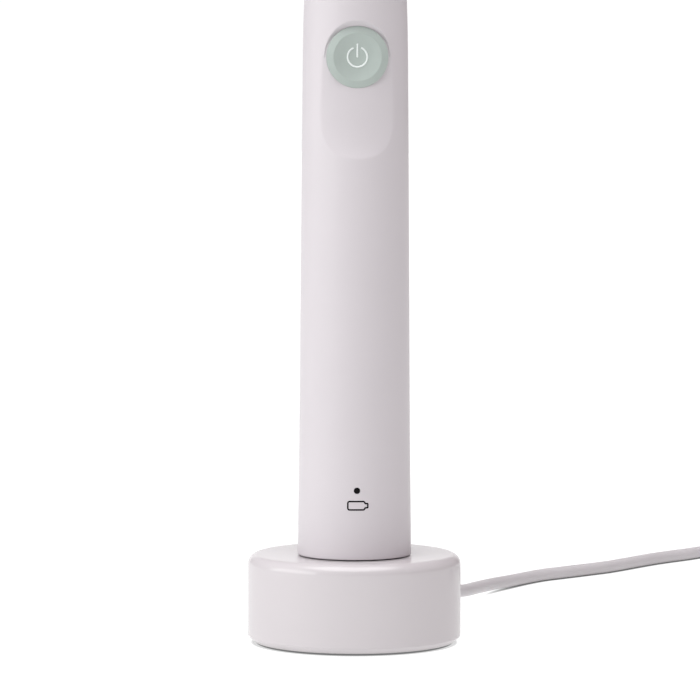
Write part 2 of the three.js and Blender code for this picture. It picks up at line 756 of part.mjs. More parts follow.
function plungerPieces() {
  const front = BUTTON_BACK_Y + GAP;
  return [piece("switch_plunger", barAlongY(PLUNGER_R, front, front + 0.8, 0, BUTTON_Z), "chip_black")];
}

// ---------- brush head ----------

function brushNeck() {
  const outside = smoothProfile(NECK_RADII, 9);
  const [tipR, tipZ] = outside[outside.length - 1];
  const stem = turned([[0, NECK_LOW], ...outside, [0, tipZ + tipR / 2]], 20);
  const core = PLATE.halfLength - PLATE.halfWidth;
  const outline = slotShape(PLATE.halfWidth - PLATE.bevel, PLATE.z - core, PLATE.z + core);
  const settings = {
    depth: PLATE.back - PLATE.front - 2 * PLATE.bevel,
    bevelThickness: PLATE.bevel,
    bevelSize: PLATE.bevel,
    bevelSegments: 2,
    curveSegments: 6,
  };
  const plate = new THREE.ExtrudeGeometry(outline, settings)
    .rotateX(Math.PI / 2)
    .translate(0, PLATE.back - PLATE.bevel, 0);
  const clipRoom = disc(3.6, NECK_LOW - PAST, 206, SMALL_ROUND);
  const shaftRoom = disc(SHAFT_R + GAP + 0.05, 205, SHAFT_TOP + 0.6, SMALL_ROUND);
  const front = box(-9, 9, -20, PLATE.front, NECK_LOW + 40, PLATE.z + 20);
  return cut(join(stem, plate), clipRoom, shaftRoom, front);
}

function shaftClip() {
  const [low, high] = [SHAFT_FLAT_LOW + 0.6, 205];
  const sleeve = ring(SHAFT_R + GAP, 3.3, low, high, SMALL_ROUND);
  const key = box(-1.6, 1.6, -2.9, SHAFT_FLAT_Y - GAP, low, high);
  return join(sleeve, key);
}

// Tufts standing on a thin base; places are [x, z] pairs relative to the middle of the brush plate.
function bristleField(base, places) {
  const baseY = PLATE.front - GAP;
  const tufts = places.map(([x, z]) =>
    barAlongY(TUFT_R, BRISTLE_TIP_Y, baseY - FIELD_BASE / 2, x, PLATE.z + z, 6),
  );
  return join(base, ...tufts);
}

function outerBristles() {
  const core = PLATE.halfLength - PLATE.halfWidth;
  const [outerR, innerR] = [5.1, 3.2];
  const outline = slotShape(outerR, PLATE.z - core, PLATE.z + core);
  outline.holes.push(slotShape(innerR, PLATE.z - core, PLATE.z + core));
  const baseY = PLATE.front - GAP;
  const base = slabAlongY(outline, baseY - FIELD_BASE, baseY, 8);
  const r = (outerR + innerR) / 2;
  const path = slotShape(r, -core, core);
  const count = Math.round(path.getLength() / TUFT_PITCH);
  const places = path.getSpacedPoints(count).slice(0, count);
  return bristleField(base, places.map((p) => [p.x, p.y]));
}

function innerBristles() {
  const core = PLATE.halfLength - PLATE.halfWidth;
  const baseY = PLATE.front - GAP;
  const base = slabAlongY(slotShape(2.9, PLATE.z - core, PLATE.z + core), baseY - FIELD_BASE, baseY, 8);
  const rows = 8;
  const places = [];
  for (let row = 0; row < rows; row += 1) {
    const z = (row - (rows - 1) / 2) * TUFT_PITCH;
    const across = row % 2 ? [0] : [-1.25, 1.25];
    across.forEach((x) => places.push([x, z]));
  }
  return bristleField(base, places);
}

function brushHeadPieces() {
  const collar = turned([
    [4.6, HEAD_LOW],
    [8, HEAD_LOW],
    [8.35, HEAD_LOW + 0.4],
    [8.3, HEAD_LOW + COLLAR_HEIGHT],
    [4.6, HEAD_LOW + COLLAR_HEIGHT],
    [4.6, HEAD_LOW],
  ]);
  return [
    piece("collar_ring", collar, "mint"),
    piece("brush_neck", brushNeck(), "white_gloss"),
    piece("shaft_clip", shaftClip(), "steel"),
    piece("bristles_outer", outerBristles(), "bristle_white"),
    piece("bristles_inner", innerBristles(), "mint"),
  ];
}

// ---------- assembly ----------

function group(...children) {
  const made = new THREE.Group();
  made.add(...children);
  return made;
}

const charger = group(...chargerPieces());
const drive = group(...drivePieces(), group(...brushHeadPieces()));
const handle = group(...handlePieces(), group(...buttonPieces()), group(...plungerPieces()), drive);
handle.position.z = HANDLE_FLOOR;

export default group(charger, handle);
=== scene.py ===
# Looks of an electric toothbrush standing on its induction charger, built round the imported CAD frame.
# Sizes are millimetres in the CAD's axes (+Z up, -Y front), and meshes are scaled to metres. Only the camera,
# the floor and what goes into material nodes are in metres.
import math
import random

import bmesh
import bpy
from mathutils import Matrix, Vector


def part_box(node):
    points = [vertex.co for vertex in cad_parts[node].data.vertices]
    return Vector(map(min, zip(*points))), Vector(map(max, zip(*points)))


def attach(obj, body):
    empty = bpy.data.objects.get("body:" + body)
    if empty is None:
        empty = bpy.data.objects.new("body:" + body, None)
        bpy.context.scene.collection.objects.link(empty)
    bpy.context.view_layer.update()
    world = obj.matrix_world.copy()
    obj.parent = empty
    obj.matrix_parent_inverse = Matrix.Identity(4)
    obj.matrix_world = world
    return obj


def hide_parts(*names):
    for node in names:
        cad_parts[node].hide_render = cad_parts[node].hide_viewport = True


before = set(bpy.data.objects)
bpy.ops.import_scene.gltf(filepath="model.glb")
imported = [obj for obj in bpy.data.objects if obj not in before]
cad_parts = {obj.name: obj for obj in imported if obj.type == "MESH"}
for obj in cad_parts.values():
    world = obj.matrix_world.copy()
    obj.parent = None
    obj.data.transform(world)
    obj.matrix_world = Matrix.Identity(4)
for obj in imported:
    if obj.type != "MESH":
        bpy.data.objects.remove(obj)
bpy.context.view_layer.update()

MM = 0.001


def cad_box(node):
    """A CAD node's lowest and highest corners, in millimetres."""
    low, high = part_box(node)
    return low / MM, high / MM


# ---------- places taken from the frame ----------

HOUSING_LOW, HOUSING_HIGH = cad_box("charger_housing")
SHELL_LOW, SHELL_HIGH = cad_box("handle_shell")
BUTTON_LOW, BUTTON_HIGH = cad_box("power_button")
GUIDE_LOW, GUIDE_HIGH = cad_box("charge_light_guide")
COIL_LOW, COIL_HIGH = cad_box("cord_coil")
COLLAR_LOW, COLLAR_HIGH = cad_box("collar_ring")
NECK_LOW = cad_box("brush_neck")[0]
SHAFT_LOW, SHAFT_HIGH = cad_box("drive_shaft")
SEAL_LOW, SEAL_HIGH = cad_box("shaft_seal")
BRISTLE_LOW = cad_box("bristles_outer")[0]

FLOOR_Z = SHELL_LOW.z  # the handle's lower edge: heights on the handle are measured from here
HANDLE_TOP = SHELL_HIGH.z - FLOOR_Z

# ---------- the design's driving sizes ----------

PUCK_R_FOOT = HOUSING_HIGH.x
PUCK_R_TOP = PUCK_R_FOOT - 0.05
PUCK_HEIGHT = 22.0
PUCK_RIM = 22.5  # the top rises a little from the handle out to its rim
PUCK_FILLET = 2.5
PUCK_FLOAT = HOUSING_LOW.z
PEG_R = 5.0
PEG_TOP = HOUSING_HIGH.z

HANDLE_FOOT = 0.6  # height of the first radius, which the lower edge has too
HANDLE_SHOULDER = 183.0  # height where the side turns in to the top
HANDLE_RADII = [
    (HANDLE_FOOT, 14.26), (30, 13.89), (70, 13.60), (115, 13.24), (132, 13.03),
    (146, 12.5), (160, 11.5), (172, 10.2), (HANDLE_SHOULDER, 8.8),
]
HANDLE_WALL = 1.8
FRONT_RELIEF = -10.2  # the wall's inner face lies flat here behind the thumb rest
NECK_HOLE_R = 4.1

BUTTON_Z = (BUTTON_LOW.z + BUTTON_HIGH.z) / 2 - FLOOR_Z
BUTTON_R = BUTTON_HIGH.x - 0.1
BUTTON_BACK_Y = BUTTON_HIGH.y
BUTTON_CREST_R = 5.95
BUTTON_CREST_Y = -12.3
BUTTON_DISH = 1.05

REST_FLOOR_Y = -11.67  # the thumb rest's deepest line
REST_FLOOR_R = 22.0
REST_DEPTH = 1.5
REST_FADE_Z = 114.0
REST_LOW_Z = 99.9
REST_FADE_POWER = 3.4
REST_WALL_R = 7.95
REST_WALL_SLOPE = 1.3
REST_EDGE = 0.13  # rounding of the thumb rest's edges
LED_Z = (GUIDE_LOW.z + GUIDE_HIGH.z) / 2 - FLOOR_Z
LED_R = 0.77
BUTTON_GAP = 0.02  # between the handle's wall and the button
LED_GAP = 0.03

CORD_D = 3.4
CORD_EXIT_ANGLE = math.radians(66)
CORD_EXIT_Z = 6.5
RELIEF_TIP = 38.5  # how far from the puck's axis the strain relief ends
RELIEF_RIBS = 5
CORD_ROUTE = [
    (15.8, 35.4, 6.5), (18.9, 42.4, 6.3), (22.2, 49.8, 5.8), (25.9, 57.9, 5.0), (29.6, 65.4, 4.2),
    (33.3, 72.8, 3.5), (37.4, 83.6, 2.9), (42.7, 95.7, 2.3), (48.0, 105.2, 1.9), (53.1, 113.3, 1.7),
    (58.2, 119.8, 1.7), (63.1, 124.2, 1.7), (68.1, 128.5, 1.7), (73.1, 133.0, 1.7), (78.2, 137.6, 1.7),
    (83.5, 143.8, 1.7), (89.0, 150.7, 1.7), (94.3, 157.0, 1.7), (99.7, 162.5, 1.7), (105.0, 167.6, 1.7),
    (112.4, 175.2, 1.7),
]
TAIL_ROUTE = [
    (169.2, 152.6, 4.3), (169.0, 146.0, 3.5), (168.4, 139.5, 3.3), (167.4, 133.4, 3.7), (166.4, 128.2, 4.2),
]
COIL_X = (COIL_LOW.x + COIL_HIGH.x) / 2
COIL_Y = (COIL_LOW.y + COIL_HIGH.y) / 2
COIL_R_IN = 14.6
COIL_R_OUT = 26.6
COIL_START = math.radians(137)
COIL_TURNS_EACH = 3.44  # turns in each of the two layers
COIL_CLIMB = 0.5  # turns taken to climb from the lower layer to the upper one
TIE_ANGLE = math.radians(-105)
TIE_WIDTH = 5.0
TIE_THICK = 0.6
PLUG_ANGLE = math.radians(-101)
PLUG_PLACE = (166.3, 127.7, 4.2)


# ---------- camera ----------

CAMERA_AWAY = 1.016
CAMERA_HEIGHT = 0.144
CAMERA_SIDE = -0.0012
CAMERA_AZIMUTH = math.radians(-2.5)
CAMERA_PITCH = math.radians(3.964)
CAMERA_ROLL = math.radians(0.11)
CAMERA_LENS = 209


def make_camera():
    data = bpy.data.cameras.new("camera")
    data.sensor_width = 36
    data.lens = CAMERA_LENS
    data.clip_start = 0.05
    data.clip_end = 50
    camera = bpy.data.objects.new("camera", data)
    bpy.context.scene.collection.objects.link(camera)
    turn = Matrix.Rotation(CAMERA_AZIMUTH, 4, "Z")
    place = turn @ Vector((CAMERA_SIDE, -CAMERA_AWAY, CAMERA_HEIGHT))
    tilt = Matrix.Rotation(math.pi / 2 - CAMERA_PITCH, 4, "X")
    roll = Matrix.Rotation(CAMERA_ROLL, 4, "Z")
    camera.matrix_world = Matrix.Translation(place) @ turn @ tilt @ roll
    bpy.context.scene.camera = camera


make_camera()


# ---------- materials ----------

def node(tree, kind, **inputs):
    """Adds a shader node; keyword names are its input sockets, with _ for a space."""
    made = tree.nodes.new(kind)
    for name, value in inputs.items():
        made.inputs[name.replace("_", " ")].default_value = value
    return made


def new_material(name):
    material = bpy.data.materials.new(name)
    material.use_nodes = True
    tree = material.node_tree
    tree.nodes.clear()
    output = tree.nodes.new("ShaderNodeOutputMaterial")
    shader = tree.nodes.new("ShaderNodeBsdfPrincipled")
    tree.links.new(shader.outputs["BSDF"], output.inputs["Surface"])
    return material, tree, shader


def surface(
    name, color, roughness, tint=0.03, tint_scale=60.0, grain=0.02, grain_scale=4000.0,
    wave=0.0, wave_scale=120.0, rough_spread=0.05, metallic=0.0, coat=0.0, coat_roughness=0.1,
    ior=1.46, sheen=0.0, stretch=(1, 1, 1), subsurface=0.0, specular=0.5, coat_ior=1.5,
):
    """A moulded or machined surface: slow colour drift, uneven gloss, long-wave unevenness and fine grain."""
    material, tree, shader = new_material(name)
    links = tree.links
    shader.inputs["Metallic"].default_value = metallic
    shader.inputs["IOR"].default_value = ior
    shader.inputs["Specular IOR Level"].default_value = specular
    shader.inputs["Coat Weight"].default_value = coat
    shader.inputs["Coat Roughness"].default_value = coat_roughness
    shader.inputs["Coat IOR"].default_value = coat_ior
    shader.inputs["Sheen Weight"].default_value = sheen
    shader.inputs["Subsurface Weight"].default_value = subsurface
    shader.inputs["Subsurface Radius"].default_value = (0.0012, 0.0010, 0.0010)
    place = tree.nodes.new("ShaderNodeTexCoord")
    mapping = node(tree, "ShaderNodeMapping", Scale=stretch)
    links.new(place.outputs["Object"], mapping.inputs["Vector"])

    drift = node(tree, "ShaderNodeTexNoise", Scale=tint_scale, Detail=3.0, Roughness=0.55)
    links.new(mapping.outputs["Vector"], drift.inputs["Vector"])
    ramp = tree.nodes.new("ShaderNodeValToRGB")
    ramp.color_ramp.elements[0].position = 0.3
    ramp.color_ramp.elements[1].position = 0.7
    ramp.color_ramp.elements[0].color = (*[c * (1 - tint) for c in color], 1)
    ramp.color_ramp.elements[1].color = (*[min(1.0, c * (1 + tint)) for c in color], 1)
    links.new(drift.outputs["Fac"], ramp.inputs["Fac"])
    links.new(ramp.outputs["Color"], shader.inputs["Base Color"])

    gloss = node(tree, "ShaderNodeTexNoise", Scale=tint_scale * 3.1, Detail=4.0, Roughness=0.6)
    links.new(mapping.outputs["Vector"], gloss.inputs["Vector"])
    spread = tree.nodes.new("ShaderNodeMapRange")
    spread.inputs["To Min"].default_value = max(0.02, roughness - rough_spread)
    spread.inputs["To Max"].default_value = min(1.0, roughness + rough_spread)
    links.new(gloss.outputs["Fac"], spread.inputs["Value"])
    links.new(spread.outputs["Result"], shader.inputs["Roughness"])

    fine = node(tree, "ShaderNodeTexNoise", Scale=grain_scale, Detail=2.0, Roughness=0.5)
    links.new(mapping.outputs["Vector"], fine.inputs["Vector"])
    bump = node(tree, "ShaderNodeBump", Strength=grain, Distance=0.00002)
    links.new(fine.outputs["Fac"], bump.inputs["Height"])
    last = bump
    if wave:
        slow = node(tree, "ShaderNodeTexNoise", Scale=wave_scale, Detail=1.0, Roughness=0.4)
        links.new(mapping.outputs["Vector"], slow.inputs["Vector"])
        swell = node(tree, "ShaderNodeBump", Strength=wave, Distance=0.0001)
        links.new(slow.outputs["Fac"], swell.inputs["Height"])
        links.new(bump.outputs["Normal"], swell.inputs["Normal"])
        last = swell
    links.new(last.outputs["Normal"], shader.inputs["Normal"])
    return material


SHELL_COLOR = (0.635, 0.60, 0.622)
PUCK_COLOR = (0.595, 0.56, 0.575)


def shell_white(name, color, roughness, specular, coat, coat_roughness, coat_ior=1.5):
    """Pale, slightly pink moulded plastic."""
    return surface(
        name, color, roughness, tint=0.012, tint_scale=45, grain=0.2, grain_scale=6500,
        wave=0.04, wave_scale=90, rough_spread=0.03, specular=specular,
        coat=coat, coat_roughness=coat_roughness, coat_ior=coat_ior,
    )


MATERIALS = {
    "handle_white": shell_white("handle_white", SHELL_COLOR, 0.38, 0.2, 0.15, 0.12),
    "puck_white": shell_white("puck_white", PUCK_COLOR, 0.30, 0.05, 0.45, 0.05, 2.0),
    "head_white": shell_white("head_white", SHELL_COLOR, 0.34, 0.3, 0.2, 0.1),
}
for look_name, color, roughness, details in [
    ("white_soft", (0.78, 0.75, 0.765), 0.5, dict(grain=0.5, grain_scale=3500)),
    ("mint", (0.42, 0.478, 0.447), 0.42, dict(tint=0.02, tint_scale=220, grain=0.4, grain_scale=5200)),
    ("mint_light", (0.80, 0.85, 0.83), 0.4, dict(tint=0.02, tint_scale=400, grain=0.3)),
    ("grey_plastic", (0.30, 0.31, 0.32), 0.55, dict(grain=0.8, grain_scale=2500)),
    ("black_lens", (0.004, 0.003, 0.004), 0.22, dict(tint=0.1, specular=0.12)),
    ("black_print", (0.006, 0.005, 0.006), 0.6, dict(tint=0.15, tint_scale=900, grain=0.6, specular=0.1)),
    ("rubber", (0.075, 0.075, 0.08), 0.78, dict(tint=0.12, grain=1.0, grain_scale=3200, sheen=0.15)),
    ("seal_grey", (0.24, 0.25, 0.26), 0.7, dict(tint=0.08, grain=0.9, grain_scale=3000)),
    ("board_green", (0.015, 0.13, 0.05), 0.38, dict(tint=0.18, tint_scale=500, coat=0.3)),
    ("chip_black", (0.018, 0.018, 0.02), 0.6, dict(tint=0.2, grain=1.0, grain_scale=2200)),
    ("copper", (0.62, 0.25, 0.10), 0.3, dict(
        tint=0.2, tint_scale=300, grain=1.0, grain_scale=1500, metallic=1.0, stretch=(1, 1, 6),
    )),
    ("ferrite", (0.045, 0.045, 0.05), 0.7, dict(tint=0.25, grain=1.0, grain_scale=2600)),
    ("steel", (0.58, 0.59, 0.61), 0.26, dict(
        tint=0.06, tint_scale=200, grain=0.6, grain_scale=2400, metallic=1.0, stretch=(1, 1, 0.05),
        rough_spread=0.08,
    )),
    ("gold", (0.83, 0.58, 0.22), 0.24, dict(tint=0.08, tint_scale=500, metallic=1.0)),
    ("bronze", (0.45, 0.28, 0.11), 0.45, dict(tint=0.25, grain=1.0, metallic=1.0)),
    ("cell_blue", (0.04, 0.14, 0.36), 0.32, dict(tint=0.06, coat=0.4)),
    ("filament_white", (0.86, 0.86, 0.84), 0.4, dict(tint=0.04, tint_scale=700, subsurface=0.1)),
    ("filament_mint", (0.42, 0.62, 0.55), 0.4, dict(tint=0.05, tint_scale=700, subsurface=0.1)),
    ("cable_white", (0.55, 0.525, 0.54), 0.44, dict(
        tint=0.02, tint_scale=90, grain=0.7, grain_scale=3800, wave=0.12, wave_scale=160, specular=0.3,
    )),
    ("strap", (0.55, 0.55, 0.56), 0.85, dict(
        tint=0.12, tint_scale=900, grain=1.0, grain_scale=2600, sheen=0.4,
    )),
]:
    MATERIALS[look_name] = surface(look_name, color, roughness, **details)

# CAD nodes that keep their own shape, with the material that each one shows.
KEPT_NODES = {
    "white_soft": ["charger_base_plate", "end_cap"],
    "rubber": ["foot_pad_1", "foot_pad_2", "foot_pad_3", "foot_pad_4", "end_cap_seal"],
    "board_green": ["charger_board", "main_board"],
    "grey_plastic": ["coil_bobbin", "carrier", "lower_bush_plate", "upper_bush_sleeve"],
    "copper": ["primary_coil", "receiver_coil", "drive_coil"],
    "ferrite": ["ferrite_core", "filter_choke", "stator_core"],
    "chip_black": [
        "smoothing_capacitor", "charger_chip", "control_chip", "motor_driver_chip", "switch_body",
        "switch_plunger",
    ],
    "steel": [
        "battery_tab_lower", "battery_tab_upper", "return_spring", "rotor", "rotor_magnet_left",
        "rotor_magnet_right", "shaft_collar", "shaft_clip",
    ],
    "bronze": ["lower_bush", "upper_bush"],
    "cell_blue": ["battery_cell"],
    "mint_light": ["charge_led"],
}


def dress_kept_nodes():
    for material, names in KEPT_NODES.items():
        for name in names:
            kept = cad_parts[name]
            kept.data.materials.clear()
            kept.data.materials.append(MATERIALS[material])
            bevel = kept.modifiers.new("edges", "BEVEL")
            bevel.width = 0.08 * MM
            bevel.segments = 2
            bevel.limit_method = "ANGLE"
            bevel.angle_limit = math.radians(40)


# ---------- mesh helpers ----------

def put(name, mesh, material, body, stands_for=(), sharp=35.0):
    """Makes a finished mesh a piece of the object: shaded, painted, riding on its body."""
    mesh.shade_smooth()
    mesh.set_sharp_from_angle(angle=math.radians(sharp))
    mesh.materials.append(MATERIALS[material])
    piece = bpy.data.objects.new(name, mesh)
    bpy.context.scene.collection.objects.link(piece)
    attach(piece, body)
    if stands_for:
        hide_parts(*stands_for)
    return piece


def mesh_of(name, verts, faces):
    """A mesh in metres from points in millimetres: doubled points merged, faces turned outwards."""
    mesh = bpy.data.meshes.new(name)
    mesh.from_pydata([(x * MM, y * MM, z * MM) for x, y, z in verts], [], faces)
    work = bmesh.new()
    work.from_mesh(mesh)
    bmesh.ops.remove_doubles(work, verts=work.verts, dist=1e-7)
    bmesh.ops.dissolve_degenerate(work, edges=work.edges, dist=1e-8)
    bmesh.ops.recalc_face_normals(work, faces=work.faces)
    work.to_mesh(mesh)
    work.free()
    return mesh


def rounded(corners, steps=5):
    """A path of [a, b, radius] corners, each corner replaced by an arc of its radius."""
    path = []
    for i, (a, b, radius) in enumerate(corners):
        here = Vector((a, b))
        if radius == 0 or i in (0, len(corners) - 1):
            path.append((a, b))
            continue
        back = (Vector(corners[i - 1][:2]) - here).normalized()
        ahead = (Vector(corners[i + 1][:2]) - here).normalized()
        half = back.angle(ahead) / 2
        reach = radius / math.tan(half)
        middle = here + (back + ahead).normalized() * (radius / math.sin(half))
        start, end = here + back * reach - middle, here + ahead * reach - middle
        sweep = start.angle_signed(end)
        for k in range(steps + 1):
            spoke = start.copy()
            spoke.rotate(Matrix.Rotation(-sweep * k / steps, 2))
            path.append(tuple(middle + spoke))
    return path


def revolve(path, segments=96, along="Z"):
    """A [radius, height] path turned about an axis: points and faces. It closes on the axis or on itself."""
    closed = path[0] == path[-1]
    rows = path[:-1] if closed else path
    verts, faces, rings = [], [], []
    for r, h in rows:
        if r < 1e-6:
            rings.append([len(verts)] * segments)
            verts.append((0.0, 0.0, h))
            continue
        rings.append(list(range(len(verts), len(verts) + segments)))
        for k in range(segments):
            a = 2 * math.pi * k / segments
            verts.append((r * math.cos(a), r * math.sin(a), h))
    pairs = list(zip(rings, rings[1:])) + ([(rings[-1], rings[0])] if closed else [])
    for low, high in pairs:
        for k in range(segments):
            n = (k + 1) % segments
            corners = list(dict.fromkeys((low[k], low[n], high[n], high[k])))
            if len(corners) > 2:
                faces.append(corners)
    if along == "Y":  # heights run towards -Y, and the turned shape keeps its right-handedness
        verts = [(x, -z, y) for x, y, z in verts]
    return verts, faces


def moved(shape, dx=0.0, dy=0.0, dz=0.0, turn=0.0):
    """The shape turned about Z, then shifted."""
    verts, faces = shape
    c, s = math.cos(turn), math.sin(turn)
    return [(x * c - y * s + dx, x * s + y * c + dy, z + dz) for x, y, z in verts], faces


def merged(*shapes):
    verts, faces = [], []
    for points, polygons in shapes:
        shift = len(verts)
        verts += points
        faces += [[i + shift for i in polygon] for polygon in polygons]
    return verts, faces


def smooth_value(knots, x):
    """The value at x of a smooth curve through (x, value) knots."""
    if x <= knots[0][0]:
        return knots[0][1]
    if x >= knots[-1][0]:
        return knots[-1][1]
    i = max(k for k in range(len(knots) - 1) if knots[k][0] <= x)

    def slope(k):
        a, b = knots[max(0, k - 1)], knots[min(len(knots) - 1, k + 1)]
        return (b[1] - a[1]) / (b[0] - a[0])

    (x0, v0), (x1, v1) = knots[i], knots[i + 1]
    w = x1 - x0
    t = (x - x0) / w
    return (
        (1 + 2 * t) * (1 - t) ** 2 * v0
        + t * (1 - t) ** 2 * w * slope(i)
        + t * t * (3 - 2 * t) * v1
        + t * t * (t - 1) * w * slope(i + 1)
    )


def smooth_route(points, spacing=1.2):
    """Points of a smooth line through 3-D points, about spacing apart."""
    ends = [2 * Vector(points[0]) - Vector(points[1]), 2 * Vector(points[-1]) - Vector(points[-2])]
    knots = [ends[0]] + [Vector(p) for p in points] + [ends[1]]
    line = []
    for a, b, c, d in zip(knots, knots[1:], knots[2:], knots[3:]):
        steps = max(1, round((c - b).length / spacing))
        for k in range(steps):
            t = k / steps
            line.append(
                0.5 * (
                    2 * b
                    + (c - a) * t
                    + (2 * a - 5 * b + 4 * c - d) * t**2
                    + (3 * b - a - 3 * c + d) * t**3
                )
            )
    return line + [knots[-2]]


def route_length(line):
    return sum((b - a).length for a, b in zip(line, line[1:]))


def carve(mesh, cutter_shape):
    """The mesh with a closed shape cut away from it."""
    work = bpy.data.objects.new("work", mesh)
    tool = bpy.data.objects.new("tool", mesh_of("tool", *cutter_shape))
    for o in (work, tool):
        bpy.context.scene.collection.objects.link(o)
    cut = work.modifiers.new("cut", "BOOLEAN")
    cut.operation = "DIFFERENCE"
    cut.solver = "EXACT"
    cut.object = tool
    bpy.context.view_layer.update()
    result = bpy.data.meshes.new_from_object(work.evaluated_get(bpy.context.evaluated_depsgraph_get()))
    for o in (work, tool):
        bpy.data.objects.remove(o)
    result.materials.clear()
    return result


def bar_along_y(r, from_y, to_y, x, z, segments=96):
    path = [(0, -to_y), (r, -to_y), (r, -from_y), (0, -from_y)]
    return moved(revolve(path, segments, "Y"), x, 0, z)


def box_shape(x0, x1, y0, y1, z0, z1):
    verts = [(x, y, z) for x in (x0, x1) for y in (y0, y1) for z in (z0, z1)]
    faces = [(0, 1, 3, 2), (4, 6, 7, 5), (0, 4, 5, 1), (2, 3, 7, 6), (0, 2, 6, 4), (1, 5, 7, 3)]
    return verts, faces


def skin_faces(rings, around, closed=False):
    """Faces between rings of points. Closed, the last ring joins the first. Open, both ends are capped."""
    faces = []
    for i in range(rings if closed else rings - 1):
        j = (i + 1) % rings
        for k in range(around):
            m = (k + 1) % around
            faces.append((i * around + k, i * around + m, j * around + m, j * around + k))
    if not closed:
        faces += [tuple(range(around)), tuple(range((rings - 1) * around, rings * around))]
    return faces


def lofted(sections):
    """Joins equal-length loops of points into a closed skin."""
    return [p for loop in sections for p in loop], skin_faces(len(sections), len(sections[0]))


def direction_at(line, i):
    return (line[min(i + 1, len(line) - 1)] - line[max(i - 1, 0)]).normalized()


def laid_along_x(shape):
    """A shape made along Z, laid down so that it runs along X."""
    verts, faces = shape
    return [(z, y, -x) for x, y, z in verts], faces


# ---------- the lead ----------

LAYER_RISE = 3.45
TIE_LIFT = 0.65
TIE_SPREAD = 0.5  # radians to each side over which the lift dies away


def coil_height(base, angle):
    """The turns are lifted a little where the tie passes under them."""
    off = math.remainder(angle - TIE_ANGLE, 2 * math.pi)
    return base + TIE_LIFT * math.exp(-((off / TIE_SPREAD) ** 2))


def coil_points():
    """Turns wound clockwise: inwards on the table, up, and outwards on top."""
    per_turn = 60
    low = CORD_D / 2
    count = round(COIL_TURNS_EACH * per_turn)
    climb = round(COIL_CLIMB * per_turn)
    points = []
    total = 2 * count + climb
    turned_by = 2 * math.pi * (2 * COIL_TURNS_EACH + COIL_CLIMB)
    for i in range(1, total):
        angle = COIL_START - turned_by * i / total
        if i < count:
            t = i / count
            r, z = COIL_R_OUT + (COIL_R_IN - COIL_R_OUT) * t, low
        elif i < count + climb:
            t = (i - count) / climb
            r = COIL_R_IN - 0.7 * math.sin(math.pi * t)
            z = low + LAYER_RISE * (t * t * (3 - 2 * t))
        else:
            t = (i - count - climb) / count
            r, z = COIL_R_IN + (COIL_R_OUT - COIL_R_IN) * t, low + LAYER_RISE
        points.append(
            Vector((COIL_X + r * math.cos(angle), COIL_Y + r * math.sin(angle), coil_height(z, angle)))
        )
    return points


def cord_line():
    out = Vector((math.cos(CORD_EXIT_ANGLE), math.sin(CORD_EXIT_ANGLE), 0))
    exit_point = out * PUCK_R_FOOT + Vector((0, 0, CORD_EXIT_Z))
    inside_relief = out * ((PUCK_R_FOOT + RELIEF_TIP) / 2) + Vector((0, 0, CORD_EXIT_Z))
    coil = coil_points()
    lead_in = smooth_route([exit_point, inside_relief, *CORD_ROUTE, *coil[3:40:6]])
    joint = min(range(len(lead_in)), key=lambda i: (lead_in[i] - coil[3]).length)
    lead_out = smooth_route([*coil[-40:-3:6], coil[-4], *TAIL_ROUTE])
    leave = min(range(len(lead_out)), key=lambda i: (lead_out[i] - coil[-4]).length)
    return exit_point, lead_in[:joint] + coil[3:-4] + lead_out[leave:]


def make_cord():
    exit_point, line = cord_line()
    data = bpy.data.curves.new("lead", "CURVE")
    data.dimensions = "3D"
    data.bevel_depth = CORD_D / 2 * MM
    data.bevel_resolution = 6
    data.use_fill_caps = True
    spline = data.splines.new("POLY")
    spline.points.add(len(line) - 1)
    for point, place in zip(spline.points, line):
        point.co = (*(place * MM), 1)
    data.materials.append(MATERIALS["cable_white"])
    lead = bpy.data.objects.new("lead", data)
    bpy.context.scene.collection.objects.link(lead)
    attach(lead, "charger")
    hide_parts("cord", "cord_coil", "cord_tail")
    return lead, exit_point, route_length(line)


def make_strain_relief():
    """A tapered sleeve with soft ribs, moulded round the lead where it leaves the puck."""
    start = PUCK_R_FOOT - 3.5
    path = [(0, start), (3.3, start), (3.3, start + 1.4), (2.6, start + 1.4), (2.6, PUCK_R_FOOT - 0.6)]
    shoulder = [
        (2.6, PUCK_R_FOOT - 0.6, 0), (3.15, PUCK_R_FOOT - 0.4, 0.1), (3.1, PUCK_R_FOOT + 1.6, 0.3),
    ]
    path += rounded(shoulder, 4)[1:]
    rib_from = PUCK_R_FOOT + 1.8
    rib_length = (RELIEF_TIP - 0.8 - rib_from) / RELIEF_RIBS
    for k in range(RELIEF_RIBS):
        r = 3.0 - 0.8 * k / RELIEF_RIBS
        at = rib_from + k * rib_length
        shape = [(r - 0.28, 0.0), (r - 0.28, 0.22), (r, 0.34), (r - 0.05, 0.92), (r - 0.2, 1.0)]
        path += [(radius, at + share * rib_length) for radius, share in shape]
    path += [
        (2.05, RELIEF_TIP - 0.6), (1.9, RELIEF_TIP - 0.1), (CORD_D / 2 - 0.05, RELIEF_TIP), (0, RELIEF_TIP),
    ]
    shape = moved(laid_along_x(revolve(path, 48)), 0, 0, CORD_EXIT_Z, CORD_EXIT_ANGLE)
    mesh = mesh_of("strain_relief_ribbed", *shape)
    return put("strain_relief_ribbed", mesh, "cable_white", "charger", ["strain_relief"])


def swept_strap(line, outline):
    """A flat strap whose width stays along Y."""
    across = Vector((0, 1, 0))
    sections = []
    for i, p in enumerate(line):
        up = across.cross(direction_at(line, i))
        sections.append([tuple(p + across * a + up * b) for a, b in outline])
    return lofted(sections)


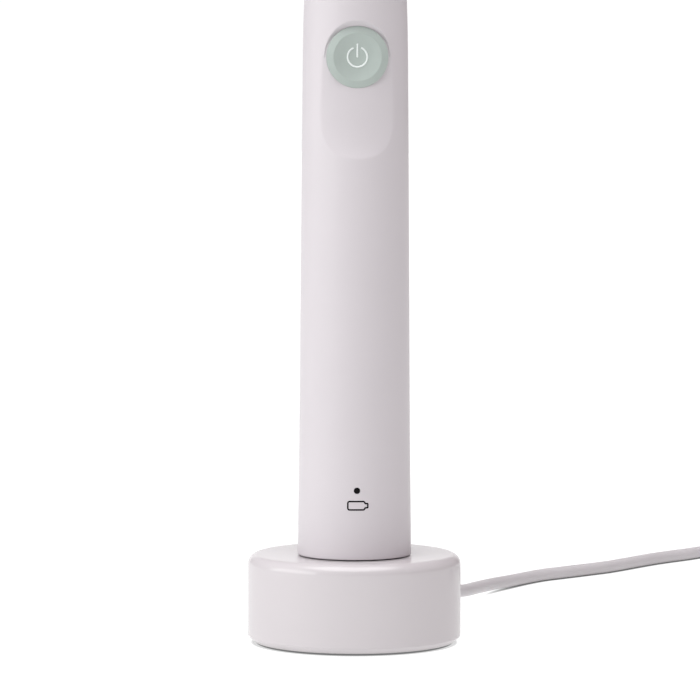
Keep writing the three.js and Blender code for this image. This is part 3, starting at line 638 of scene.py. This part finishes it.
def make_tie():
    """A hook-and-loop strap round the coil, with its free end lying on top of itself."""
    mid_r = (COIL_R_IN + COIL_R_OUT) / 2
    half_w = (COIL_R_OUT - COIL_R_IN) / 2 + CORD_D / 2 + 0.75
    low, high = TIE_THICK / 2 + 0.02, CORD_D + LAYER_RISE + TIE_LIFT + TIE_THICK / 2 + 0.1
    bend = 1.6
    loop = [
        (0, low, 0), (half_w, low, bend), (half_w, high, bend),
        (-half_w, high, bend), (-half_w, low, bend), (-0.01, low, 0),
    ]
    band = [Vector((mid_r + a, 0, b)) for a, b in rounded(loop, 6)]
    half, thick = TIE_WIDTH / 2, TIE_THICK / 2
    strip = [(-half, -thick), (half, -thick), (half, thick), (-half, thick)]
    tab = [Vector((mid_r + a, 0, high + TIE_THICK * 0.98)) for a in (-5.5, -2, 2, 5.2)]
    tab[0].z -= 0.1
    shape = merged(swept_strap(band, strip), swept_strap(tab, strip))
    mesh = mesh_of("tie_strap", *moved(shape, COIL_X, COIL_Y, 0, TIE_ANGLE))
    return put("tie_strap", mesh, "strap", "charger", ["coil_tie"])


# ---------- plug, made along +X from the cable end, then laid on the table ----------

PLUG_TAPER = 9.0
PLUG_BODY = 24.0
PLUG_WIDTH = 15.6
PLUG_THICK = 8.2
PLUG_CORNER = 2.2
PLUG_END = PLUG_TAPER + PLUG_BODY
GRIP_GROOVES = 5
NECK_RIBS = 4
TONGUE_LENGTH = 12.5
TONGUE_FROM = PLUG_END + 0.3
TONGUE_END = TONGUE_FROM + TONGUE_LENGTH
CONTACT_PLACES = (-3.5, -1.0, 1.0, 3.5)


def put_plug_part(name, mesh, material, stands_for=()):
    return put(name, mesh, material, "charger", stands_for)


def lay_plug(shape):
    return moved(shape, *PLUG_PLACE, PLUG_ANGLE)


def rounded_rectangle(half_a, half_b, r, steps=6):
    corners = [(half_a, half_b), (-half_a, half_b), (-half_a, -half_b), (half_a, -half_b)]
    loop = []
    for i, (a, b) in enumerate(corners):
        middle = (a - math.copysign(r, a), b - math.copysign(r, b))
        for k in range(steps + 1):
            angle = math.pi / 2 * (i + k / steps)
            loop.append((middle[0] + r * math.cos(angle), middle[1] + r * math.sin(angle)))
    return loop


def grip_shape():
    """The moulded grip: a rounded bar with shallow grooves."""
    stations = [
        (PLUG_TAPER, 0.78), (PLUG_TAPER + 0.5, 0.9), (PLUG_TAPER + 1.4, 0.97), (PLUG_TAPER + 3, 1.0),
    ]
    for k in range(GRIP_GROOVES):
        at = PLUG_TAPER + 8 + 2 * k
        stations += [(at - 0.45, 1.0), (at - 0.2, 0.955), (at + 0.2, 0.955), (at + 0.45, 1.0)]
    stations += [(PLUG_END - 1.2, 1.0), (PLUG_END - 0.4, 0.975), (PLUG_END - 0.1, 0.945), (PLUG_END, 0.9)]
    sections = []
    for x, share in stations:
        loop = rounded_rectangle(PLUG_WIDTH / 2 * share, PLUG_THICK / 2 * share, PLUG_CORNER * share)
        sections.append([(x, a, b) for a, b in loop])
    return lofted(sections)


def grip_neck_shape():
    """The ribbed neck where the lead goes into the grip."""
    path = [(0, 0.0), (CORD_D / 2 + 0.1, 0.0), (2.25, 0.4)]
    for k in range(NECK_RIBS):
        at = 1.0 + 2.0 * k
        r = 2.35 + 0.22 * k
        path += [(r, at), (r + 0.1, at + 1.2), (r - 0.2, at + 1.45), (r - 0.2, at + 1.75)]
    path += [(3.3, PLUG_TAPER), (3.4, PLUG_TAPER + 1.5), (0, PLUG_TAPER + 1.5)]
    return laid_along_x(revolve(path, 40))


def make_plug_shell():
    """The plug's metal sleeve, open in front, with two windows through it."""
    outer = rounded_rectangle(6.0, 2.25, 0.6, 4)
    inner = rounded_rectangle(5.65, 1.9, 0.35, 4)
    tube = [
        [(TONGUE_FROM - 1.5, a, b) for a, b in outer],
        [(TONGUE_END - 0.1, a, b) for a, b in outer],
        [(TONGUE_END, a * 0.992, b * 0.98) for a, b in outer],
        [(TONGUE_END, a, b) for a, b in inner],
        [(TONGUE_FROM + 0.4, a, b) for a, b in inner],
    ]
    skin = mesh_of("plug_metal_shell", *lay_plug(lofted(tube)))
    for side in (-2.6, 2.6):
        window = box_shape(TONGUE_FROM + 6.0, TONGUE_FROM + 8.3, side - 1.15, side + 1.15, -4, 4)
        skin = carve(skin, lay_plug(window))
    return put_plug_part("plug_metal_shell", skin, "steel", ["plug_shell"])


def contact_shape(y):
    setback = 1.6 if abs(y) > 2 else 2.6
    return box_shape(TONGUE_FROM + 0.6, TONGUE_END - setback, y - 0.55, y + 0.55, -0.06, 0.12)


def make_plug():
    grip = mesh_of("plug_grip", *lay_plug(merged(grip_shape(), grip_neck_shape())))
    pieces = [put_plug_part("plug_grip", grip, "white_soft", ["plug_overmould"])]
    pieces.append(make_plug_shell())
    tongue = box_shape(TONGUE_FROM + 0.1, TONGUE_END - 0.9, -5.3, 5.3, -1.6, -0.05)
    mesh = mesh_of("plug_contact_tongue", *lay_plug(tongue))
    pieces.append(put_plug_part("plug_contact_tongue", mesh, "white_soft", ["plug_tongue"]))
    contacts = merged(*[contact_shape(y) for y in CONTACT_PLACES])
    mesh = mesh_of("plug_contacts", *lay_plug(contacts))
    pieces.append(put_plug_part("plug_contacts", mesh, "gold"))
    return pieces


# ---------- charger ----------

def make_housing():
    """Round puck with a full top edge, a bevelled foot and the peg that the handle stands on."""
    roof = PUCK_HEIGHT - 2
    inner = PUCK_R_FOOT - 1.8
    peg_bore, peg_roof = 3.8, PEG_TOP - 1.3
    seat_r = 14.5  # the handle stands within this radius, and the top rises from here to the rim
    path = rounded(
        [
            (0, peg_roof, 0),
            (peg_bore, peg_roof, 0.3),
            (peg_bore, roof, 0.3),
            (22.6, roof, 0.5),
            (inner - 0.35, roof - 2, 0.5),
            (inner, PUCK_FLOAT, 0.1),
            (PUCK_R_FOOT - 1.5, PUCK_FLOAT, 0.15),
            (PUCK_R_FOOT, PUCK_FLOAT + 1.3, 0.7),
            (PUCK_R_TOP, PUCK_RIM, PUCK_FILLET),
            (seat_r, PUCK_HEIGHT, 4),
            (PEG_R, PUCK_HEIGHT, 0.9),
            (PEG_R - 0.15, PEG_TOP, 0.9),
            (0, PEG_TOP, 0),
        ],
        9,
    )
    mesh = mesh_of("puck_housing", *revolve(path, 192))
    return put("puck_housing", mesh, "puck_white", "charger", ["charger_housing"])


# ---------- handle ----------

def handle_radius(h):
    return smooth_value(HANDLE_RADII, h)


def soft_max(a, b, r):
    """The larger of a and b, with the change from one to the other rounded over about r."""
    gap = max(r - abs(a - b), 0.0) / r
    return max(a, b) + gap * gap * r / 4


def dished(x, y, h):
    """Presses the thumb rest into the front of the handle: y of the surface at x and height h."""
    if y > 0 or not REST_LOW_Z - 2 < h < BUTTON_Z + 12:
        return y
    floor = REST_FLOOR_Y + REST_FLOOR_R - math.sqrt(REST_FLOOR_R**2 - x * x)
    fade = max(0.0, REST_FADE_Z - h) / (REST_FADE_Z - REST_LOW_Z)
    floor -= REST_DEPTH * fade**REST_FADE_POWER
    if h > BUTTON_Z:
        floor -= REST_WALL_SLOPE * max(0.0, math.hypot(x, h - BUTTON_Z) - REST_WALL_R)
    return soft_max(y, floor, REST_EDGE)


def spaced(start, end, step):
    count = max(1, round(abs(end - start) / step))
    return [start + (end - start) * k / count for k in range(count)]


def handle_rows():
    """[radius, height, is it outside] round the wall's section: outside, over the top, down the inside."""
    edge = handle_radius(HANDLE_FOOT)
    foot = rounded([(edge - 1.4, 0, 0), (edge, 0, 0.28), (edge, 2.0, 0)], 6)[:-1]
    rest_from, rest_to = 97.5, 135.5  # the thumb rest and the button need close rows
    heights = spaced(1.2, rest_from, 4.0) + spaced(rest_from, rest_to, 0.3)
    heights += spaced(rest_to, HANDLE_SHOULDER, 1.5)
    top = rounded(
        [
            (handle_radius(HANDLE_SHOULDER), HANDLE_SHOULDER, 0), (8.25, HANDLE_TOP, 0.9),
            (NECK_HOLE_R, HANDLE_TOP, 0.25), (NECK_HOLE_R, HANDLE_TOP - 5, 0.3), (7.4, HANDLE_TOP - 8.5, 0),
        ],
        6,
    )
    outside = foot + [(handle_radius(h), h) for h in heights] + top
    down = (172, 160, 146, 140.2, 140, 118, 95, 94.8, 70, 30, 1.0)
    inside = [(handle_radius(h) - HANDLE_WALL, h) for h in down] + [(edge - HANDLE_WALL, 0.3)]
    return [(r, h, True) for r, h in outside] + [(r, h, False) for r, h in inside]


def make_handle():
    front = [math.radians(a) for a in spaced(-50, 50, 0.9)]
    back = [math.radians(a) for a in spaced(50, 310, 4)]
    angles = front + back
    rows = handle_rows()
    verts = []
    for r, h, outside in rows:
        for a in angles:
            x, y = r * math.sin(a), -r * math.cos(a)
            if outside:
                y = dished(x, y, h)
            elif 95 <= h <= 140:
                y = max(y, FRONT_RELIEF)
            verts.append((x, y, FLOOR_Z + h))
    mesh = mesh_of("handle_body", verts, skin_faces(len(rows), len(angles), closed=True))
    mesh = carve(mesh, bar_along_y(BUTTON_R + BUTTON_GAP, -16, -6.5, 0, FLOOR_Z + BUTTON_Z, 128))
    mesh = carve(mesh, bar_along_y(LED_R + LED_GAP, -16, -10, 0, FLOOR_Z + LED_Z, 48))
    return put("handle_body", mesh, "handle_white", "handle", ["handle_shell"], sharp=30)


def make_charge_light():
    """A smoked light pipe whose domed end lies flush with the handle."""
    front, back = handle_radius(LED_Z), 8.3
    path = rounded([(0, back, 0), (LED_R, back, 0.1), (LED_R, front - 0.02, 0.12), (0, front + 0.03, 0)], 4)
    shape = moved(revolve(path, 48, "Y"), 0, 0, FLOOR_Z + LED_Z)
    mesh = mesh_of("charge_light_lens", *shape)
    return put("charge_light_lens", mesh, "black_lens", "handle", ["charge_light_guide"])


ICON_DROP = 3.72  # from the charge light down to the middle of the battery mark
ICON_LINE = 0.39
ICON_STEP = 0.12


def battery_outline():
    """Centre line of the battery mark, in x and height: a rounded case with its terminal to the right."""
    left, right, tip = -2.28, 1.89, 2.69
    half, nub = 1.04, 0.52
    corners = [
        (0, half, 0), (left, half, 0.42), (left, -half, 0.42),
        (right - 0.15, -half, 0.4), (right + 0.18, -nub, 0.1), (tip, -nub, 0.16),
        (tip, nub, 0.16), (right + 0.18, nub, 0.1), (right - 0.15, half, 0.4), (0, half, 0),
    ]
    return rounded(corners, 6)[:-1]


def make_battery_mark():
    """The printed mark: a band of ink that follows the handle's surface."""
    line = []
    knots = [Vector(p) for p in battery_outline()]
    for a, b in zip(knots, knots[1:] + knots[:1]):
        steps = max(1, round((b - a).length / ICON_STEP))
        line += [a.lerp(b, k / steps) for k in range(steps)]
    n = len(line)
    verts = []
    for i, p in enumerate(line):
        ahead = (line[(i + 1) % n] - line[i - 1]).normalized()
        side = Vector((ahead.y, -ahead.x))
        for share, lift in ((-0.5, 0.02), (0.5, 0.02), (0.5, -0.05), (-0.5, -0.05)):
            q = p + side * (share * ICON_LINE)
            h = LED_Z - ICON_DROP + q.y
            r = handle_radius(h) + lift
            verts.append((q.x, -math.sqrt(r * r - q.x * q.x), FLOOR_Z + h))
    mesh = mesh_of("battery_mark", verts, skin_faces(n, 4, closed=True))
    return put("battery_mark", mesh, "black_print", "handle")


# ---------- power button ----------

def dish_y(r):
    return BUTTON_CREST_Y + BUTTON_DISH * (1 - (r / BUTTON_CREST_R) ** 2)


def make_button():
    """A round cap: bevelled rim, crest, and a shallow dish for the thumb."""
    inside = BUTTON_CREST_R - 1.2
    rim = rounded(
        [
            (0, -BUTTON_BACK_Y, 0), (BUTTON_R, -BUTTON_BACK_Y, 0.1),
            (BUTTON_R, -BUTTON_CREST_Y - 0.62, 0.16), (BUTTON_CREST_R, -BUTTON_CREST_Y + 0.02, 0.25),
            (inside, -dish_y(inside), 0),
        ],
        6,
    )
    dish = [(r, -dish_y(r)) for r in (4.4, 4.0, 3.5, 3.0, 2.5, 2.0, 1.5, 1.0, 0.5, 0.0)]
    shape = moved(revolve(rim + dish, 128, "Y"), 0, 0, FLOOR_Z + BUTTON_Z)
    mesh = mesh_of("button_cap", *shape)
    return put("button_cap", mesh, "mint", "button", ["power_button"])


def make_power_symbol():
    """The raised on-off symbol: an open ring and a bar."""
    ring_r, bead_r, opening = 2.44, 0.24, math.radians(27)
    bar_from, bar_length = 0.12, 3.05
    steps, bar_steps = 64, 12
    ring = []
    for k in range(steps + 1):
        a = opening + (2 * math.pi - 2 * opening) * k / steps
        ring.append(Vector((ring_r * math.sin(a), 0, ring_r * math.cos(a))))
    bar = [Vector((0, 0, bar_from + bar_length * k / bar_steps)) for k in range(bar_steps + 1)]
    shapes = []
    for line in (ring, bar):
        for p in line:
            p.y = dish_y(math.hypot(p.x, p.z))
        shapes.append(bead(line, bead_r))
    mesh = mesh_of("power_symbol", *moved(merged(*shapes), 0, 0, FLOOR_Z + BUTTON_Z))
    return put("power_symbol", mesh, "mint_light", "button", sharp=60)


def bead(line, r, sides=12, end_steps=4):
    """A round bead along a line, with round ends."""
    first, last = (line[0] - line[1]).normalized(), (line[-1] - line[-2]).normalized()
    turns = [k * math.pi / 2 / end_steps for k in range(end_steps)]
    grown = [line[0] + first * r * math.cos(a) for a in turns]
    sizes = [r * math.sin(a) for a in turns]
    points = grown + line + [line[-1] + last * (p - line[0]).length for p in reversed(grown)]
    radii = sizes + [r] * len(line) + list(reversed(sizes))
    sections = []
    for i, (p, size) in enumerate(zip(points, radii)):
        ahead = direction_at(points, i)
        side = ahead.cross(Vector((0, 1, 0))).normalized()
        up = side.cross(ahead)
        size = max(size, 0.002)
        around = [2 * math.pi * k / sides for k in range(sides)]
        sections.append([tuple(p + (side * math.cos(a) + up * math.sin(a)) * size) for a in around])
    return lofted(sections)


# ---------- drive shaft and seal, seen when the brush head is off ----------

def make_shaft():
    """The drive shaft, with a flat that carries the brush head round."""
    low, top, r = SHAFT_LOW.z, SHAFT_HIGH.z, 2
    path = rounded([(0, low, 0), (r, low, 0.2), (r, top, 0.5), (0, top, 0)], 5)
    mesh = mesh_of("shaft_turned", *revolve(path, 64))
    flat_y, flat_from = -1.3, FLOOR_Z + 194
    mesh = carve(mesh, box_shape(-4, 4, -4, flat_y, flat_from, top + 2))
    return put("shaft_turned", mesh, "steel", "drive", ["drive_shaft"])


def make_seal():
    """A soft lip seal round the shaft."""
    low, high = SEAL_LOW.z, SEAL_HIGH.z
    inner = 2.15
    path = rounded(
        [
            (inner, low, 0), (5.6, low, 0.2), (5.6, low + 1.6, 0.3), (3.85, low + 2.6, 0.3),
            (3.85, high - 0.5, 0.3), (3.0, high - 0.35, 0.2), (2.8, high, 0.1),
            (inner, high - 0.05, 0.1), (inner, low, 0),
        ],
        4,
    )
    mesh = mesh_of("seal_lip", *revolve(path, 64))
    return put("seal_lip", mesh, "seal_grey", "handle", ["shaft_seal"])


# ---------- brush head ----------

NECK_RADII = [(190.5, 8.25), (197, 7.5), (204, 6.2), (212, 4.9), (222, 4.1), (230, 3.8)]
PLATE_Z = 243.2
PLATE_HALF_LENGTH = 13.0
PLATE_HALF_WIDTH = 5.7
PLATE_FRONT = -2.6
PLATE_BACK = 2.2
OUTER_LINE_R = 4.15
OUTER_TUFTS = 26
INNER_ROWS = 8
INNER_ROW_GAP = 2.1
FILAMENT_GAP = 0.27
SPLAY = 0.28  # how much further apart the filaments' ends are than their roots


def head_section(h):
    """Half width, front y, back y and squareness of the brush head at height h."""
    round_r = smooth_value(NECK_RADII, h)
    plate_low = PLATE_Z - PLATE_HALF_LENGTH
    blend = min(1.0, max(0.0, (h - (plate_low - 9)) / 13))
    blend = blend * blend * (3 - 2 * blend)
    tip_centre = PLATE_Z + PLATE_HALF_LENGTH - PLATE_HALF_WIDTH
    past = max(0.0, h - tip_centre) / PLATE_HALF_WIDTH
    close = math.sqrt(max(0.0, 1 - past * past))
    half = round_r + (PLATE_HALF_WIDTH - round_r) * blend
    front = -round_r + (PLATE_FRONT + round_r) * blend
    back = round_r + (PLATE_BACK - round_r) * blend
    edge = 1 - (1 - close) ** 2.2
    middle = (front + back) / 2
    return half * close, middle + (front - middle) * edge, middle + (back - middle) * edge, 2 + 1.6 * blend


def make_neck():
    low, high = NECK_LOW.z - FLOOR_Z, PLATE_Z + PLATE_HALF_LENGTH
    heights = [low, low + 0.08, low + 0.3] + spaced(low + 0.8, 234, 1.2) + spaced(234, 250, 0.8)
    tip_steps, sides = 16, 72
    for k in range(tip_steps + 1):  # closer and closer towards the round tip
        heights.append(high - PLATE_HALF_WIDTH * (1 - math.sin(math.pi / 2 * k / tip_steps)))
    sections = []
    for h in heights:
        half, front, back, power = head_section(h)
        tuck = {low: 0.25, low + 0.08: 0.1}.get(h, 0.0)
        middle, depth = (front + back) / 2, (back - front) / 2
        loop = []
        for k in range(sides):
            a = 2 * math.pi * k / sides
            c, s = math.cos(a), math.sin(a)
            x = math.copysign(abs(c) ** (2 / power), c) * max(half - tuck, 0.01)
            y = middle + math.copysign(abs(s) ** (2 / power), s) * max(depth - tuck, 0.01)
            loop.append((x, y, FLOOR_Z + min(h, high)))
        sections.append(loop)
    mesh = mesh_of("brush_neck_body", *lofted(sections))
    bore = revolve([(0, -3), (3.6, -3), (3.6, 15.5), (2.4, 15.6), (2.4, 18.2), (0, 18.2)], 64)
    mesh = carve(mesh, moved(bore, 0, 0, NECK_LOW.z))
    return put("brush_neck_body", mesh, "head_white", "brush_head", ["brush_neck"])


def make_collar():
    low, high, inner = COLLAR_LOW.z, COLLAR_HIGH.z, 4.6
    path = rounded(
        [
            (inner, low, 0), (8.1, low, 0.35), (8.35, low + 1.2, 0.6),
            (8.3, high, 0.25), (inner, high, 0.1), (inner, low, 0),
        ],
        5,
    )
    mesh = mesh_of("collar_band", *revolve(path, 128))
    return put("collar_band", mesh, "mint", "brush_head", ["collar_ring"])


def slot_places(r, core, count):
    """Evenly spaced [x, z] places on a round-ended slot line."""
    straight = 2 * core
    around = 2 * straight + 2 * math.pi * r
    places = []
    for k in range(count):
        s = around * k / count
        if s < straight:
            places.append((r, -core + s))
        elif s < straight + math.pi * r:
            a = (s - straight) / r
            places.append((r * math.cos(a), core + r * math.sin(a)))
        elif s < 2 * straight + math.pi * r:
            places.append((-r, core - (s - straight - math.pi * r)))
        else:
            a = math.pi + (s - 2 * straight - math.pi * r) / r
            places.append((r * math.cos(a), -core + r * math.sin(a)))
    return places


def tuft(x, z, length, draw):
    """A bundle of round-tipped filaments that splay a little towards their ends."""
    shapes = []
    spread = [(0.0, 0.0)]
    for ring in (1, 2):  # six filaments round the middle one, and twelve round those
        spread += [(FILAMENT_GAP * ring, k * math.pi / (3 * ring)) for k in range(6 * ring)]
    for distance, a in spread:
        dx, dz = distance * math.cos(a), distance * math.sin(a)
        lean_x = dx * SPLAY + draw.uniform(-0.10, 0.10) + x * 0.015
        lean_z = dz * SPLAY + draw.uniform(-0.10, 0.10)
        reach = length + draw.uniform(-0.12, 0.12)
        shapes.append(filament(x + dx, z + dz, lean_x, lean_z, reach))
    return merged(*shapes)


def filament(x, z, lean_x, lean_z, reach):
    r, sides, sunk = 0.12, 6, 0.3
    sections = []
    for share, size in [(0.0, 1.0), (0.5, 1.0), (0.93, 0.95), (0.985, 0.6), (1.0, 0.12)]:
        bend = share * share
        y = PLATE_FRONT + sunk - (reach + sunk) * share
        loop = []
        for k in range(sides):
            a = 2 * math.pi * k / sides
            across = x + lean_x * bend + r * size * math.cos(a)
            up = FLOOR_Z + PLATE_Z + z + lean_z * bend + r * size * math.sin(a)
            loop.append((across, y, up))
        sections.append(loop)
    return lofted(sections)


def put_tufts(name, shapes, material, node_name):
    mesh = mesh_of(name, *merged(*shapes))
    put(name, mesh, material, "brush_head", [node_name])


def make_bristles():
    draw = random.Random(7)
    core = PLATE_HALF_LENGTH - PLATE_HALF_WIDTH
    longest = PLATE_FRONT - BRISTLE_LOW.y - 0.1
    outer = slot_places(OUTER_LINE_R, core, OUTER_TUFTS)
    shapes = [tuft(x, z, longest - (0.9 if k % 2 else 0.0), draw) for k, (x, z) in enumerate(outer)]
    put_tufts("bristle_tufts_outer", shapes, "filament_white", "bristles_outer")
    inner = []
    for row in range(INNER_ROWS):  # two tufts and one, by turns
        z = (row - (INNER_ROWS - 1) / 2) * INNER_ROW_GAP
        inner += [(x, z) for x in ([0] if row % 2 else [-1.25, 1.25])]
    shapes = [tuft(x, z, longest - 1.1, draw) for x, z in inner]
    put_tufts("bristle_tufts_inner", shapes, "filament_mint", "bristles_inner")


# ---------- floor and light ----------

FLOOR_GLOW = 1.03
RIGHT_SHADE_SHARE = 0.95  # painted shade: share of the glow left on the floor's right
RIGHT_SHADE_RAMP = (0.095, 0.2)  # metres to the right over which the glow drops into that painted shade
FLOOR_LEAN = (1, -0.13, 0)  # the painted shade's direction: towards the right, square to a line that leans a little
# painted contact shadow: how far from whatever touches the floor the glow is dimmed
CONTACT_SHADOW_REACH = 0.001
UNDER_SHADOW_EDGE = (PUCK_R_FOOT - 2.6, PUCK_R_FOOT - 1.6)  # painted shadow under the charger: where the glow comes back at the charger's edge
# painted shadow: share of the glow left under the charger
UNDER_SHADOW_GLOW = 0.18


def combined(tree, kind, operation, a, b=None):
    """A math node's result for two values, each a socket or a constant."""
    made = tree.nodes.new(kind)
    made.operation = operation
    for slot, given in enumerate((a, b)):
        if isinstance(given, bpy.types.NodeSocket):
            tree.links.new(given, made.inputs[slot])
        elif given is not None:
            made.inputs[slot].default_value = given
    return made.outputs["Vector" if operation == "ADD" else "Value"]


def eased(tree, value, start, end, low=0.0, high=1.0):
    """Goes smoothly from low to high while the value goes from start to end."""
    made = node(tree, "ShaderNodeMapRange", From_Min=start, From_Max=end, To_Min=low, To_Max=high)
    made.interpolation_type = "SMOOTHSTEP"
    tree.links.new(value, made.inputs["Value"])
    return made.outputs["Result"]


def make_floor():
    """A pale sweep that glows like a lit table, with painted shadow and shade in the glow: it fades under
    the charger and close to whatever touches the floor, and is a little weaker to the right."""
    mesh = bpy.data.meshes.new("floor")
    side, z = 6.0, -0.00005
    corners = [(-side, -side, z), (side, -side, z), (side, side, z), (-side, side, z)]
    mesh.from_pydata(corners, [], [(0, 1, 2, 3)])
    floor = bpy.data.objects.new("floor", mesh)
    bpy.context.scene.collection.objects.link(floor)
    material, tree, shader = new_material("floor")
    shader.inputs["Base Color"].default_value = (0.08, 0.08, 0.08, 1)
    shader.inputs["Roughness"].default_value = 0.9
    shader.inputs["Specular IOR Level"].default_value = 0.0
    shader.inputs["Emission Color"].default_value = (1, 1, 1, 1)

    # painted contact shadow: ambient occlusion dims the glow next to whatever touches the floor
    contact_shadow = node(tree, "ShaderNodeAmbientOcclusion", Distance=CONTACT_SHADOW_REACH)
    contact_shadow.samples = 12
    place = tree.nodes.new("ShaderNodeTexCoord").outputs["Object"]
    to_right = combined(tree, "ShaderNodeVectorMath", "DOT_PRODUCT", place, FLOOR_LEAN)
    # painted shade: the glow drops a little towards the right
    fade = eased(tree, to_right, *RIGHT_SHADE_RAMP, FLOOR_GLOW, FLOOR_GLOW * RIGHT_SHADE_SHARE)
    out = combined(tree, "ShaderNodeVectorMath", "LENGTH", place)
    # painted shadow under the charger: the glow drops close to its foot
    under = eased(tree, out, UNDER_SHADOW_EDGE[0] * MM, UNDER_SHADOW_EDGE[1] * MM, UNDER_SHADOW_GLOW)
    # the glow with both painted shadows, the contact one and the one under the charger
    shadowed_glow = combined(tree, "ShaderNodeMath", "MULTIPLY", contact_shadow.outputs["AO"], under)
    glow = combined(tree, "ShaderNodeMath", "MULTIPLY", fade, shadowed_glow)
    tree.links.new(glow, shader.inputs["Emission Strength"])
    mesh.materials.append(material)


SKY_AXIS = (0.966, 0.259, 0)  # points away from the middle of the bright panel, 75 degrees left of the front
SKY_STOPS = [  # direction along that axis, and the light that comes from there
    (-1.0, (2.55, 2.55, 2.55)),
    (-0.95, (2.8, 2.8, 2.8)),
    (-0.87, (2.8, 2.8, 2.8)),
    (-0.84, (0.75, 0.75, 0.75)),
    (-0.6, (0.42, 0.41, 0.43)),
    (-0.2, (0.29, 0.28, 0.30)),
    (0.25, (0.34, 0.31, 0.32)),
    (0.6, (0.24, 0.20, 0.21)),
    (1.0, (0.22, 0.18, 0.18)),
]
LAMP_AXIS = (-0.03, -0.2, 0.98)  # towards the round lamp overhead
LAMP_EDGE = (0.8, 0.92)  # its soft edge, as the direction's share along that axis
LAMP_GLOW = 3.3
SKY_BEHIND = 1.03
SKY_BEHIND_EDGE = (0.9, 0.98)


def make_sky():
    """Soft studio light: a bright panel on the left, a round lamp overhead, pale behind, dim elsewhere."""
    world = bpy.data.worlds.new("studio")
    bpy.context.scene.world = world
    world.use_nodes = True
    tree = world.node_tree
    links = tree.links
    tree.nodes.clear()
    output = tree.nodes.new("ShaderNodeOutputWorld")
    background = tree.nodes.new("ShaderNodeBackground")
    place = tree.nodes.new("ShaderNodeTexCoord").outputs["Generated"]

    across = combined(tree, "ShaderNodeVectorMath", "DOT_PRODUCT", place, SKY_AXIS)
    along = node(tree, "ShaderNodeMapRange", From_Min=-1, From_Max=1)
    links.new(across, along.inputs["Value"])
    ramp = tree.nodes.new("ShaderNodeValToRGB")
    ramp.color_ramp.interpolation = "LINEAR"
    for _ in range(len(SKY_STOPS) - 2):
        ramp.color_ramp.elements.new(0.5)
    for element, (x, light) in zip(ramp.color_ramp.elements, SKY_STOPS):
        element.position = (x + 1) / 2
        element.color = (*light, 1)
    links.new(along.outputs["Result"], ramp.inputs["Fac"])

    overhead = combined(tree, "ShaderNodeVectorMath", "DOT_PRODUCT", place, LAMP_AXIS)
    lamp = eased(tree, overhead, *LAMP_EDGE, 0.0, LAMP_GLOW)
    total = combined(tree, "ShaderNodeVectorMath", "ADD", ramp.outputs["Color"], lamp)

    axes = tree.nodes.new("ShaderNodeSeparateXYZ")
    links.new(place, axes.inputs["Vector"])
    behind = eased(tree, axes.outputs["Y"], *SKY_BEHIND_EDGE)
    mix = tree.nodes.new("ShaderNodeMix")
    mix.data_type = "RGBA"
    factor, first, second, result = mix.inputs[0], mix.inputs[6], mix.inputs[7], mix.outputs[2]
    links.new(behind, factor)
    links.new(total, first)
    second.default_value = (SKY_BEHIND, SKY_BEHIND, SKY_BEHIND, 1)
    links.new(result, background.inputs["Color"])
    links.new(background.outputs["Background"], output.inputs["Surface"])


# ---------- build ----------

LEAD, LEAD_EXIT, LEAD_LENGTH = make_cord()
RELIEF = make_strain_relief()
TIE = make_tie()
PLUG_PIECES = make_plug()
make_housing()
make_handle()
make_charge_light()
make_battery_mark()
make_button()
make_power_symbol()
make_shaft()
make_seal()
make_neck()
make_collar()
make_bristles()
dress_kept_nodes()
make_floor()
make_sky()
bpy.context.scene.view_settings.view_transform = "Standard"
